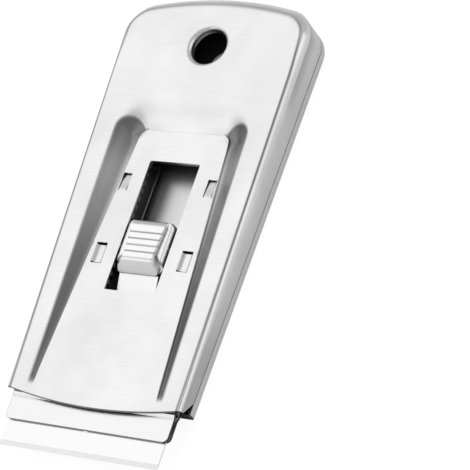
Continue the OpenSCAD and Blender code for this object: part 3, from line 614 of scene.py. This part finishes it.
# The lip: its gap to the front shell's wall, its own sheet, and its reach above and below the
# seam, where its open end steps from the mouth to a little in front of the notch
LIP_GAP, LIP_T, LIP_H, LIP_DEPTH = 0.05, 0.5, 1.3, 0.9
LIP_STEP, LIP_BEFORE_NOTCH = 0.01, 1
# Painted shade: inside the tray, which is told by its height to within WITHIN_SHEET, and on the lip in the
# seam
BACK_INNER_SHADE, WITHIN_SHEET, LIP_SHADE = 0.05, 0.1, 0.9


def back_shell(size):
    """The back shell: a flat floor, a quarter round along its edge, and an upright wall."""
    tray = Surface()
    rings = [level_ring(BACK_EDGE_R * (1 - math.sin(a)), BACK_MOUTH_Y, BACK_EDGE_R * (1 - math.cos(a)))
             for a in np.linspace(0, math.pi / 2, BACK_EDGE_N)]
    rings.append(level_ring(0, BACK_MOUTH_Y, BACK_H - size.seam / 2))
    tray.grid(np.array(rings))
    tray.field(rings[0][:, :2], [circle((0, HOLE_Y), HOLE_R, HOLE_N)], lambda x, y: np.zeros_like(x),
               down=True)
    return tray.build("back_shell_tray", wall=size.sheet)


def back_lip(size):
    """The lip inside the seam: a band that follows the outline, inside the front shell. Above the
    seam it starts near the notch."""
    lip = Surface()
    ends = ((BACK_MOUTH_Y, BACK_H - LIP_DEPTH), (BACK_MOUTH_Y, BACK_H - LIP_STEP),
            (NOTCH_Y - LIP_BEFORE_NOTCH, BACK_H), (NOTCH_Y - LIP_BEFORE_NOTCH, BACK_H + LIP_H))
    lip.grid(np.array([level_ring(size.sheet + LIP_GAP, y0, z) for y0, z in ends]))
    return lip.build("back_shell_lip", wall=LIP_T)


# Thumb knob: its box, its ribbed top, its corners, and how far its edge lies below its top
KNOB_Y, KNOB_LEN, KNOB_W, KNOB_Z, KNOB_H = 31.1, 12.1, 11.6, 5.3, 2.9
KNOB_TOP_W, KNOB_TAPER, KNOB_CORNER_R, KNOB_FALL = 8.3, 0.5, 1.5, 2.5
# Lengths of its front slope and of its back, which falls by the sum of two powers of the way
KNOB_FRONT, KNOB_BACK, KNOB_BACK_FALLS = 2.1, 1.9, ((0.9, 1.2), (1.6, 10))
KNOB_SHARPNESS = 16.0
# The steep step beside the ribbed top, as places across and falls, and where it flares in front
STEP_SIDE = ((0, 0.04, 0.1, 0.2), (0, 0.2, 1.1, KNOB_FALL))
FLARE_LEN, FLARE = 2.3, 8
# The foot: its half width on top, its fall there, the power across it, its slanted line in front,
# and how steeply and how far it falls past that line
FOOT_HW, FOOT_FALL, FOOT_POWER = 4.0, 0.98, 5
FOOT_FRONT = ((3.9, 3.8), (5.5, 2.4))
FOOT_STEEP, FOOT_REACH = 3, 0.6
# The lines across the ribbed top, and the valleys beside it and in front of the foot
RIB_LINES, RIB_LEAD_SHARE, RIB_LINE_W = 5, 0.35, 0.13
RIB_PITCH = (KNOB_LEN - KNOB_FRONT - KNOB_BACK) / (RIB_LINES + RIB_LEAD_SHARE)
VALLEY_D, VALLEY_OUT, VALLEY_W, VALLEY_FRONT_W, VALLEY_BACK = 0.15, 0.12, 0.1, 0.25, 1.5
# The lines end where the knob has fallen by LINE_END_FALL, and fade over the last LINE_FADE of that.
# Lines and valleys both fade over the last EDGE_FADE of its whole fall.
LINE_END_FALL, LINE_FADE, EDGE_FADE = 0.375, 0.25, 0.4
STEM_Y, STEM_R, STEM_LEN, STEM_N = 37.5, 1.3, 1.0, 48
KNOB_LIFT = 0.02
KNOB_ACROSS_N, KNOB_ALONG_N = 141, 221
# Painted shade: in the lines, from the front to further back, with the rise between and the part of the
# knob that has them, and in the valleys and on the front slope
LINE_DARK, LINE_RISE, LINE_PAST_TOP, LINE_ABOVE_Z = (0.15, 0.55), 0.8, 0.05, KNOB_Z + 2.3
VALLEY_DARK, SLOPE_DARK, SLOPE_RISE = 0.5, 0.18, 0.3


def knob_trim(y):
    """How far the foot's side is drawn in at its rounded corners, which are twice as long in
    front as at the back."""
    r = KNOB_CORNER_R
    short = np.maximum(np.maximum(1 - y / (2 * r), 1 - (KNOB_LEN - y) / r), 0)
    return r * (1 - np.sqrt(1 - np.minimum(short, 1) ** 2))


def knob_top(y):
    """Half width of the ribbed top, which narrows evenly to the front."""
    ahead = 1 - (y - KNOB_FRONT) / (KNOB_LEN - KNOB_FRONT - KNOB_BACK)
    return KNOB_TOP_W / 2 - KNOB_TAPER * np.clip(ahead, 0, 1)


def rib_line(y):
    """A bell at each line across the ribbed top."""
    phase = (y - KNOB_FRONT) / RIB_PITCH - RIB_LEAD_SHARE
    nearest = np.round(phase)
    return (nearest >= 0) * (nearest < RIB_LINES) * bell((phase - nearest) * RIB_PITCH, RIB_LINE_W)


def valley(x, y):
    """A bell along the crease between the ribbed top and the foot: straight beside the top, then
    turned outwards in front of the foot's shoulder."""
    x = np.abs(x)
    (x0, y0), (x1, y1) = FOOT_FRONT
    past_ends = np.maximum(y0 - y, 0) + np.maximum(y - KNOB_LEN + VALLEY_BACK, 0)
    beside = np.hypot(x - knob_top(y) - VALLEY_OUT, past_ends)
    run, rise = x1 - x0, y1 - y0
    along = np.clip(((x - x0) * run + (y - y0) * rise) / (run ** 2 + rise ** 2), 0, 1)
    turned = np.hypot(x - x0 - run * along, y - y0 - rise * along)
    return np.maximum(bell(beside, VALLEY_W), bell(turned, VALLEY_FRONT_W))


def knob_side(x, y):
    """The fall of the knob's sides: the least of the ribbed block's, a steep step that flares out
    in front, and the foot's, 0.98 + 1.52 (1 - sqrt(1 - t^5)) with t across it, which ends at a
    slanted line in front."""
    x = np.abs(x)
    (x0, y0), (x1, y1) = FOOT_FRONT
    block = np.interp((x - knob_top(y)) / mix(1, FLARE, smooth((y0 - y) / FLARE_LEN)), *STEP_SIDE)
    t = np.clip((x + knob_trim(y) - FOOT_HW) / (KNOB_W / 2 - FOOT_HW), 0, 1)
    foot = FOOT_FALL + (KNOB_FALL - FOOT_FALL) * (1 - np.sqrt(1 - t ** FOOT_POWER))
    ahead = ((x - x0) * (y1 - y0) - (y - y0) * (x1 - x0)) / math.hypot(x1 - x0, y1 - y0)
    return np.minimum(block, foot + FOOT_STEEP * np.clip(ahead, 0, FOOT_REACH))


def thumb_knob(rib_depth):
    """The knob's fall below its top over its plan: the most of its sides', a front slope's and
    its back's, which goes as 0.9 u^1.2 + 1.6 u^10, with the valley and the round lines. Rows and
    columns are closer at its rims, as sines. The rim goes straight down to a flat underside, and
    the round stem goes on down from there."""
    knob = Surface()
    across, y = np.meshgrid(np.sin(np.linspace(-1, 1, KNOB_ACROSS_N) * math.pi / 2),
                            (1 - np.cos(np.linspace(0, 1, KNOB_ALONG_N) * math.pi)) / 2 * KNOB_LEN)
    x = across * (KNOB_W / 2 - knob_trim(y))
    u = np.clip((y - KNOB_LEN + KNOB_BACK) / KNOB_BACK, 0, 1)
    falls = [np.zeros_like(x), knob_side(x, y), KNOB_FALL * (1 - y / KNOB_FRONT),
             sum(fall * u ** power for fall, power in KNOB_BACK_FALLS)]
    fall = np.clip(-soft_min([-f for f in falls], KNOB_SHARPNESS), 0, KNOB_FALL)
    sunk = rib_depth * rib_line(y) * smooth((LINE_END_FALL - fall) / LINE_FADE) + VALLEY_D * valley(x, y)
    z = KNOB_Z + KNOB_H - np.minimum(fall + sunk * smooth((KNOB_FALL - fall) / EDGE_FADE), KNOB_FALL)
    top = np.stack([x, KNOB_Y + y, z], -1)
    knob.grid(top)
    rim = np.concatenate([top[0, :-1], top[:-1, -1], top[-1, :0:-1], top[:0:-1, 0]])
    stem = circle((0, STEM_Y), STEM_R, STEM_N)
    foot_z = KNOB_Z + KNOB_LIFT
    for upper, z in ((rim, foot_z), (np.column_stack([stem, np.full(STEM_N, foot_z)]), foot_z - STEM_LEN)):
        lower = np.column_stack([upper[:, :2], np.full(len(upper), z)])
        knob.grid(np.array([lower, upper]), loop=True)
        knob.field(lower[:, :2], [], lambda x, y, z=z: np.full_like(x, z), down=True)
    return knob.build("knob_block", sharp=50.0)


def knob_shade(x, y, z):
    """Painted shade in the knob's creases: its lines, its valleys and a little of its front slope."""
    y = y - KNOB_Y
    on_top = (np.abs(x) < knob_top(y) + LINE_PAST_TOP) & (z > LINE_ABOVE_Z)
    lines = mix(*LINE_DARK, smooth((y - KNOB_FRONT) / LINE_RISE - 1)) * rib_line(y) * on_top
    front = SLOPE_DARK * smooth((KNOB_FRONT - y) / SLOPE_RISE)
    return np.maximum.reduce([lines, VALLEY_DARK * valley(x, y), front])


def spring_band():
    """The spring strip: its solid as it is, welded."""
    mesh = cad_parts["spring_strip"].data.copy()
    weld(mesh)
    obj = bpy.data.objects.new("spring_band", mesh)
    bpy.context.scene.collection.objects.link(obj)
    return obj


# Shader maths

class Term:
    """A value in a shader. Arithmetic on it adds Math nodes."""

    def __init__(self, finish, socket):
        self.finish = finish
        self.socket = socket

    def math(self, operation, *values):
        """The result of a Math node on these values."""
        node = self.finish.node("ShaderNodeMath", {"operation": operation}, dict(enumerate(values)))
        return Term(self.finish, node.outputs[0])

    def __add__(self, other):
        return self.math("ADD", self, other)

    def __sub__(self, other):
        return self.math("SUBTRACT", self, other)

    def __rsub__(self, other):
        return self.math("SUBTRACT", other, self)

    def __mul__(self, other):
        return self.math("MULTIPLY", self, other)

    def __gt__(self, other):
        return self.math("GREATER_THAN", self, other)

    def __lt__(self, other):
        return self.math("LESS_THAN", self, other)

    def __abs__(self):
        return self.math("ABSOLUTE", self)

    def at_least(self, other):
        return self.math("MAXIMUM", self, other)

    def root(self):
        return self.math("SQRT", self)

    __radd__ = __add__
    __rmul__ = __mul__


class Finish:
    """The nodes of a material or of the world, with one method that adds any node."""

    def __init__(self, owner):
        owner.use_nodes = True
        self.owner = owner
        self.tree = owner.node_tree
        self.tree.nodes.clear()

    def node(self, kind, settings=None, inputs=None):
        """A node of that kind: its settings first, then values or links of its sockets."""
        node = self.tree.nodes.new(kind)
        for key, value in (settings or {}).items():
            setattr(node, key, value)
        for key, value in (inputs or {}).items():
            if isinstance(value, Term):
                value = value.socket
            if isinstance(value, bpy.types.NodeSocket):
                self.tree.links.new(value, node.inputs[key])
            else:
                node.inputs[key].default_value = value
        return node

    def close(self, shader, kind="ShaderNodeOutputMaterial"):
        """Links a shader to the output, and returns the material or the world."""
        self.node(kind, {}, {"Surface": shader.outputs[0]})
        return self.owner

    def steel(self, colour, rough, extra=None):
        """Closes the nodes with metal of that colour and roughness."""
        return self.close(self.node("ShaderNodeBsdfPrincipled", {}, {
            "Base Color": colour, "Roughness": rough, "Metallic": 1.0, **(extra or {})}))

    def axes(self):
        """X, Y and Z of the Object coordinates, as Terms."""
        coords = self.node("ShaderNodeTexCoord").outputs["Object"]
        parts = self.node("ShaderNodeSeparateXYZ", {}, {0: coords}).outputs
        return [Term(self, part) for part in parts]

    def noise(self, scale, detail=2.0):
        """Noise on Object coordinates, with a frequency per metre for each axis, as a Term."""
        coords = self.node("ShaderNodeTexCoord").outputs["Object"]
        mapped = self.node("ShaderNodeMapping", {}, {"Vector": coords, "Scale": scale})
        cloud = self.node("ShaderNodeTexNoise", {"noise_dimensions": "3D"},
                          {"Vector": mapped.outputs[0], "Scale": 1.0, "Detail": detail})
        return Term(self, cloud.outputs["Fac"])

    def ray(self, *kinds):
        """1 for rays of these kinds and 0 for others, as a Term."""
        path = self.node("ShaderNodeLightPath").outputs
        seen = Term(self, path[f"Is {kinds[0]} Ray"])
        for kind in kinds[1:]:
            seen = seen.at_least(Term(self, path[f"Is {kind} Ray"]))
        return seen


# Painted shades, and darker cut edges, told by place. Each returns a function that adds its nodes to a
# finish.

def cut_edge_and_shade(box, radius, dark, width=0.05):
    """The sheared edge of a plate with round front corners, darker as cut sheet, and the shadow at it are
    painted dark: within width of its sides and front, told by the distance to the corner's circle."""
    def shade(finish):
        x, y, _ = finish.axes()
        half, front, r = box[1][0], box[0][1], radius * MM
        across = (abs(x) - (half - r)).at_least(0.0)
        ahead = ((front + r) - y).at_least(0.0)
        away = (across * across + ahead * ahead).root()
        return (away > r - width * MM) * dark
    return shade


def mouth_cut_and_shade(y0, bulge, dark, width=0.15):
    """A shell's sheared edge at the mouth, darker as cut sheet, and the shade along it are painted dark:
    within width of an arc that starts at y0 and goes back by bulge at the case's corners, taken as a
    parabola."""
    def shade(finish):
        x, y, _ = finish.axes()
        past = y - x * x * (bulge / (MOUTH_W / 2) ** 2 / MM) - placed_y(y0)
        return (past < width * MM) * dark
    return shade


def bend_shade_line(y0, half, dark):
    """A bend across a leaf gets painted shade, a little darker, as a triangle of that half width about y0.
    """
    def shade(finish):
        y = finish.axes()[1] - placed_y(y0)
        return (abs(y) * (-1 / (half * MM)) + 1.0).at_least(0.0) * dark
    return shade


# Finishes. Grains are frequencies along X, Y and Z, per metre. The cloud varies the stored painted shade
# from its least by its range, and wear varies the roughness by shares of it.
BROAD_GRAIN = (90, 70, 90)
CLOUD_GRAIN, CLOUD_LEAST, CLOUD_RANGE = (70, 40, 70), 0.85, 0.3
FINE_WEAR_SHARE, BROAD_WEAR_SHARE = 0.35, 0.2
STREAK_HEIGHT = 0.02 * MM
# The leaves: their round corners with the cut edge and its shadow painted dark, and the painted shade
# along the bend: its place, half width and darkness
LEAF_CORNER_R, LEAF_CUT_AND_SHADE = 1.2, 0.93
LEAF_BEND_Y, LEAF_BEND_HW, LEAF_BEND_SHADE = 0.7, 0.5, 0.14
# The blade's ground band: its width and how soft its end is, its mottling, and the roughness of
# the flats, what the band adds to it and how far the grinding varies it
GROUND_W, GROUND_SOFT = 1.1, 0.05
MOTTLE_LEAST, MOTTLE_RANGE = 0.2, 0.9
FLAT_ROUGH, BAND_ROUGH, GRIND_ROUGH = 0.2, 0.2, 0.12


def brushed(name, colour, rough, streak, tone=0.05, blotch=0.03, bump=0.0, dark=0.0, shades=()):
    """Brushed metal: streaks and soft blotches vary its colour, roughness and height a little. streak is
    the streaks' frequency along X, Y and Z, per metre. dark is how far the painted shade stored in the
    tone attribute, times a soft cloud, darkens the metal. shades paint more shade on it by its place."""
    finish = Finish(bpy.data.materials.new(name))
    fine = finish.noise(streak, 3.0)
    broad = finish.noise(BROAD_GRAIN)
    light = (fine - 0.5) * (2 * tone) + (broad - 0.5) * (2 * blotch) + 1.0
    if dark:
        layer = finish.node("ShaderNodeAttribute", {"attribute_name": "tone"})
        cloud = finish.noise(CLOUD_GRAIN, 1.0)
        tone_here = Term(finish, layer.outputs["Fac"]) * (cloud * CLOUD_RANGE + CLOUD_LEAST)
        light = light * (1.0 - tone_here * dark)
    for shade in shades:
        light = light * (1.0 - shade(finish))
    pale = finish.node("ShaderNodeVectorMath", {"operation": "SCALE"}, {0: tuple(colour), "Scale": light})
    worn = (fine - 0.5) * (FINE_WEAR_SHARE * rough) + (broad - 0.5) * (BROAD_WEAR_SHARE * rough) + rough
    extra = {}
    if bump:
        extra["Normal"] = finish.node("ShaderNodeBump", {}, {
            "Height": fine, "Strength": bump, "Distance": STREAK_HEIGHT}).outputs[0]
    return finish.steel(pale.outputs[0], worn, extra)


def face_steel(looks):
    """The front shell's sheet, brushed across, with painted shade in its grooves, creases, wall, tabs and
    inner skin, and its cut mouth with the shade along it painted dark.
    """
    return brushed("brushed face", looks.face, looks.roughness, streak=(150, 5200, 5200), tone=0.09,
                   blotch=0.15, bump=0.25, dark=0.8, shades=[mouth_cut_and_shade(0, MOUTH_BULGE, 0.85)])


def back_steel(looks):
    """The back shell's sheet, brushed along it, with painted shade inside it and on its lip, and its cut
    mouth with the shade along it painted dark.
    """
    return brushed("brushed back", looks.back, looks.roughness + 0.05, streak=(5200, 150, 5200),
                   bump=0.2, dark=1.0, shades=[mouth_cut_and_shade(BACK_MOUTH_Y, 0, 0.9)])


def knob_metal(looks):
    """The knob's satin metal, with painted shade in its creases."""
    return brushed("satin knob", looks.knob, 0.32, streak=(900, 2500, 2500), tone=0.02, blotch=0.02,
                   dark=1.0)


def bright_steel(looks, name, shades=()):
    """Springy bright strip, finely brushed across."""
    return brushed(name, looks.bright, 0.24, streak=(200, 4200, 4200), tone=0.03, shades=shades)


def leaf_steel(looks, node, bend_shade):
    """A leaf's bright steel, with its cut edge and its shadow painted dark, and painted shade along its
    bend.
    """
    return bright_steel(looks, "leaf steel", shades=[
        cut_edge_and_shade(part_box(node), LEAF_CORNER_R, LEAF_CUT_AND_SHADE),
        bend_shade_line(LEAF_BEND_Y, LEAF_BEND_HW, bend_shade)])


def guide_steel(looks):
    """Steel of the guides inside, brushed along them, dark with painted shade of the case's inside."""
    return brushed("guide steel", looks.inner, 0.4, streak=(2500, 300, 2500), tone=0.06)


def rivet_steel(looks):
    """Steel of the rivets and the washer, with an even grain, in the guides' dark colour, painted shade of
    the case's inside.
    """
    return brushed("rivet steel", looks.inner, 0.35, streak=(900, 900, 900), tone=0.03)


def blade_steel(looks):
    """The blade: polished flats, and a ground band along the edge, told by its place in Y, that
    a soft noise mottles."""
    finish = Finish(bpy.data.materials.new("polished blade"))
    band_y, soft = placed_y(-BLADE_REACH + GROUND_W), GROUND_SOFT * MM
    band = Term(finish, finish.node("ShaderNodeMapRange", {"clamp": True}, {
        "Value": finish.axes()[1], "From Min": band_y + soft, "From Max": band_y - soft,
        "To Min": 0.0, "To Max": 1.0}).outputs[0])
    grind = finish.noise((9000, 300, 300))
    ground = band * (finish.noise((1400, 900, 900)) * MOTTLE_RANGE + MOTTLE_LEAST)
    pale = finish.node("ShaderNodeMix", {"data_type": "RGBA"},
                       {0: ground, 6: (*looks.blade, 1), 7: (*looks.edge, 1)})
    return finish.steel(pale.outputs[2], band * BAND_ROUGH + (grind - 0.5) * GRIND_ROUGH + FLAT_ROUGH)


def dress(obj, material):
    """Gives the object that one material, on the faces of every slot it has."""
    if not obj.data.materials:
        obj.data.materials.append(material)
    for index in range(len(obj.data.materials)):
        obj.data.materials[index] = material


# Settings

def length_property(name, description, default):
    """A length whose default is given in millimetres. Blender keeps it in metres."""
    return bpy.props.FloatProperty(name=name, description=description, default=default * MM,
                                   min=0.01 * MM, precision=5, unit="LENGTH")


def colour_property(name, description, default):
    """A colour without alpha."""
    return bpy.props.FloatVectorProperty(name=name, description=description, default=default,
                                         subtype="COLOR", size=3, min=0.0, max=1.0)


def power_property(name, description, default):
    """A lamp's power in watts."""
    return bpy.props.FloatProperty(name=name, description=description, default=default, min=0.0,
                                   unit="POWER")


def millimetres(settings):
    """The lengths of a property group in millimetres, to a ten-thousandth."""
    return SimpleNamespace(**{key: round(getattr(settings, key) / MM, 4)
                              for key in settings.__annotations__})


class ScraperSizes(bpy.types.PropertyGroup):
    sheet: length_property("Sheet", "Thickness of both shells' sheet", 0.6)
    seam: length_property("Seam", "Open gap between the two shells", 0.2)
    crown_width: length_property("Crown width", "Plan width of the pressed shoulder at the crown", 3.4)
    crown_fall: length_property("Crown fall", "How far that shoulder falls at the crown", 1.65)
    groove: length_property("Groove depth", "Depth of the grooves below the panel", 0.35)
    rim: length_property("Rim radius", "Radius of the rim rolled into the hanging hole", 1.2)
    rib: length_property("Rib depth", "Depth of the lines across the knob", 0.2)


class ScraperFinishes(bpy.types.PropertyGroup):
    face: colour_property("Face", "Brushed sheet of the front shell", (0.83, 0.83, 0.83))
    back: colour_property("Back", "Brushed sheet of the back shell", (0.78, 0.78, 0.785))
    # The guides' colour is dark as painted shade of the case's inside.
    inner: colour_property("Guides", "Bare steel inside", (0.22, 0.22, 0.222))
    bright: colour_property("Bright pieces", "Leaves, spring strip and spine", (0.87, 0.87, 0.87))
    knob: colour_property("Knob", "Satin metal of the knob", (0.92, 0.92, 0.92))
    blade: colour_property("Blade", "Polished flats of the blade", (0.91, 0.91, 0.91))
    edge: colour_property("Edge", "Ground band of the blade", (0.78, 0.78, 0.78))
    roughness: bpy.props.FloatProperty(name="Face roughness", description="Roughness of the brushed sheet",
                                       default=0.3, min=0.05, max=1.0, subtype="FACTOR")


class ScraperStage(bpy.types.PropertyGroup):
    lens: bpy.props.FloatProperty(name="Lens", description="Focal length in millimetres on a 36 mm sensor",
                                  default=168.5, min=20.0, max=400.0)
    key: power_property("Key lamp", "Power of the large box that the face mirrors", 2.45)
    side: power_property("Side lamp", "Power of the box at the right", 0.9)
    front: power_property("Front lamp", "Power of the low box in front", 0.35)
    fill: bpy.props.FloatProperty(name="Sky", description="Strength of the even light", default=0.5,
                                  min=0.0)


# Pieces

class SCRAPER_OT_front_shell(bpy.types.Operator):
    """Build the smooth sheet of the front shell"""
    bl_idname = "scraper.front_shell"
    bl_label = "Front shell"

    def execute(self, context):
        obj = front_shell(millimetres(context.scene.scraper_sizes))
        # The painted shades go into the tone attribute, and the inner skin is painted fully shaded.
        mark(obj, front_shade, inner=1.0)
        dress(obj, face_steel(context.scene.scraper_finishes))
        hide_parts("front_shell")
        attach(obj, "case")
        return {"FINISHED"}


class SCRAPER_OT_back_shell(bpy.types.Operator):
    """Build the smooth sheet of the back shell, with its lip"""
    bl_idname = "scraper.back_shell"
    bl_label = "Back shell"

    def execute(self, context):
        size = millimetres(context.scene.scraper_sizes)
        material = back_steel(context.scene.scraper_finishes)
        tray, lip = back_shell(size), back_lip(size)
        inner_z = size.sheet - WITHIN_SHEET
        # Painted shade on the tray's inside and on the whole lip
        mark(tray, lambda x, y, z: BACK_INNER_SHADE * ((z > inner_z) & (edge_distance(x, y) > ON_WALL)))
        mark(lip, lambda x, y, z: np.full_like(x, LIP_SHADE))
        for obj in (tray, lip):
            dress(obj, material)
            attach(obj, "case")
        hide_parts("back_shell")
        return {"FINISHED"}


class SCRAPER_OT_knob(bpy.types.Operator):
    """Build the ribbed thumb knob"""
    bl_idname = "scraper.knob"
    bl_label = "Thumb knob"

    def execute(self, context):
        obj = thumb_knob(millimetres(context.scene.scraper_sizes).rib)
        mark(obj, knob_shade)
        dress(obj, knob_metal(context.scene.scraper_finishes))
        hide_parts("thumb_knob")
        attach(obj, "knob")
        return {"FINISHED"}


class SCRAPER_OT_spring(bpy.types.Operator):
    """Copy the spring strip's solid as it is, welded, and dress it in spring steel"""
    bl_idname = "scraper.spring"
    bl_label = "Spring strip"

    def execute(self, context):
        obj = spring_band()
        dress(obj, bright_steel(context.scene.scraper_finishes, "spring steel"))
        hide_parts("spring_strip")
        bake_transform(obj)
        return {"FINISHED"}


class SCRAPER_OT_plain_pieces(bpy.types.Operator):
    """Dress the pieces that keep their solids"""
    bl_idname = "scraper.plain_pieces"
    bl_label = "Inner pieces and blade"

    def execute(self, context):
        looks = context.scene.scraper_finishes
        finishes = (
            (guide_steel(looks), ("rack_plate", "left_rail", "right_rail", "carrier_plate")),
            (rivet_steel(looks), ("strip_rivets", "knob_washer", "holder_rivets")),
            (leaf_steel(looks, "front_leaf", LEAF_BEND_SHADE), ("front_leaf",)),
            (leaf_steel(looks, "back_leaf", 0.0), ("back_leaf",)),
            (bright_steel(looks, "bright steel"), ("blade_spine",)),
            (blade_steel(looks), ("blade",)))
        for material, nodes in finishes:
            for node in nodes:
                dress(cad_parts[node], material)
        return {"FINISHED"}


# Stage. The camera is the photograph's, fitted: its place and the place on the floor that it is
# aimed at, in millimetres in the frame, and how far it leans, in degrees
EYE = (250.3, -167.3, 362.4)
AIM = (16.185, 1.455, 0.0)
LEAN = -41.609
SENSOR_W, CLIP_START = 36.0, 0.01
# The floor: its half width and height in metres, its glow, and the shares of the glow that every
# camera ray sees and that mirrored rays see too
FLOOR_HALF, FLOOR_Z = 3.0, -0.05 * MM
FLOOR_GLOW, FLOOR_SEEN_SHARE, FLOOR_MIRRORED_SHARE = 1.13, 0.7, 0.1
# Each lamp's width, length and place, in metres
LAMPS = {"key": (1.10, 1.25, (-0.47, 0.08, 0.72)),
         "side": (0.60, 0.80, (0.74, 0.32, 0.40)),
         "front": (0.50, 0.50, (-0.45, -0.70, 0.32))}


def set_camera(scene, lens):
    """Stands the camera at the eye, turned to the aim and then about its own line of sight."""
    camera = bpy.data.objects.new("camera", bpy.data.cameras.new("camera"))
    scene.collection.objects.link(camera)
    turn = (Vector(EYE) - Vector(AIM)).to_track_quat("Z", "Y").to_matrix().to_4x4()
    lean = Matrix.Rotation(math.radians(LEAN), 4, "Z")
    camera.matrix_world = Matrix.Translation(Vector(EYE) * MM) @ turn @ lean
    camera.data.lens = lens
    camera.data.sensor_width = SENSOR_W
    camera.data.clip_start = CLIP_START
    scene.camera = camera


def floor_paint():
    """White paint that glows a little for the camera, and less in the metal."""
    paint = Finish(bpy.data.materials.new("floor white"))
    matte = paint.node("ShaderNodeBsdfDiffuse", {}, {"Color": (0.9, 0.9, 0.9, 1)})
    glow = paint.node("ShaderNodeEmission", {}, {"Color": (1, 1, 1, 1), "Strength": FLOOR_GLOW})
    share = paint.ray("Camera") * FLOOR_SEEN_SHARE + paint.ray("Camera", "Glossy") * FLOOR_MIRRORED_SHARE
    return paint.close(paint.node("ShaderNodeMixShader", {},
                                  {0: share, 1: matte.outputs[0], 2: glow.outputs[0]}))


def lay_floor(scene):
    """A white floor just below the object."""
    mesh = bpy.data.meshes.new("floor")
    corners = ((-1, -1), (1, -1), (1, 1), (-1, 1))
    mesh.from_pydata([(x * FLOOR_HALF, y * FLOOR_HALF, FLOOR_Z) for x, y in corners], [], [(0, 1, 2, 3)])
    mesh.materials.append(floor_paint())
    floor = bpy.data.objects.new("floor", mesh)
    scene.collection.objects.link(floor)
    return floor


def light_sky(scene, strength):
    """An even white sky of that strength, which the camera sees as plain white."""
    scene.world = bpy.data.worlds.new("studio")
    sky = Finish(scene.world)
    even, white = (sky.node("ShaderNodeBackground", {}, {"Color": (1, 1, 1, 1), "Strength": light})
                   for light in (strength, 1.0))
    seen = sky.ray("Camera", "Transmission")
    both = sky.node("ShaderNodeMixShader", {}, {0: seen, 1: even.outputs[0], 2: white.outputs[0]})
    sky.close(both, "ShaderNodeOutputWorld")


def hang_lamp(scene, name, power, width, length, spot):
    """A soft box that faces the object, its width kept level."""
    lamp = bpy.data.objects.new(name, bpy.data.lights.new(name, "AREA"))
    lamp.data.energy = power
    lamp.data.shape = "RECTANGLE"
    lamp.data.size, lamp.data.size_y = width, length
    lamp.location = spot
    back = lamp.location.normalized()
    across = Vector((0, 1, 0)).cross(back).normalized()
    lamp.rotation_euler = Matrix((across, back.cross(across), back)).transposed().to_euler()
    scene.collection.objects.link(lamp)


class SCRAPER_OT_stage(bpy.types.Operator):
    """Set the floor, the light and the camera"""
    bl_idname = "scraper.stage"
    bl_label = "Floor, light and camera"

    def execute(self, context):
        scene = context.scene
        look = scene.scraper_stage
        scene.view_settings.view_transform = "Standard"
        set_camera(scene, look.lens)
        lay_floor(scene)
        light_sky(scene, look.fill)
        for name, (width, length, spot) in LAMPS.items():
            hang_lamp(scene, f"{name} lamp", getattr(look, name), width, length, spot)
        return {"FINISHED"}


class SCRAPER_PT_panel(bpy.types.Panel):
    """The scraper's settings and pieces"""
    bl_idname = "SCRAPER_PT_panel"
    bl_label = "Scraper"
    bl_space_type = "VIEW_3D"
    bl_region_type = "UI"
    bl_category = "Scraper"

    def draw(self, context):
        for name in SETTINGS:
            settings = getattr(context.scene, name)
            for key in settings.__annotations__:
                self.layout.prop(settings, key)
        for operator in OPERATORS:
            self.layout.operator(operator.bl_idname)


SETTINGS = {"scraper_sizes": ScraperSizes, "scraper_finishes": ScraperFinishes,
            "scraper_stage": ScraperStage}
OPERATORS = (SCRAPER_OT_front_shell, SCRAPER_OT_back_shell, SCRAPER_OT_knob, SCRAPER_OT_spring,
             SCRAPER_OT_plain_pieces, SCRAPER_OT_stage)
CLASSES = (*SETTINGS.values(), *OPERATORS, SCRAPER_PT_panel)


def register():
    for cls in CLASSES:
        bpy.utils.register_class(cls)
    for name, group in SETTINGS.items():
        setattr(bpy.types.Scene, name, bpy.props.PointerProperty(type=group))


def unregister():
    for name in SETTINGS:
        delattr(bpy.types.Scene, name)
    for cls in reversed(CLASSES):
        bpy.utils.unregister_class(cls)


def main():
    register()
    bpy.ops.scraper.front_shell()
    bpy.ops.scraper.back_shell()
    bpy.ops.scraper.knob()
    bpy.ops.scraper.spring()
    bpy.ops.scraper.plain_pieces()
    bpy.ops.scraper.stage()


if __name__ == "__main__":
    main()
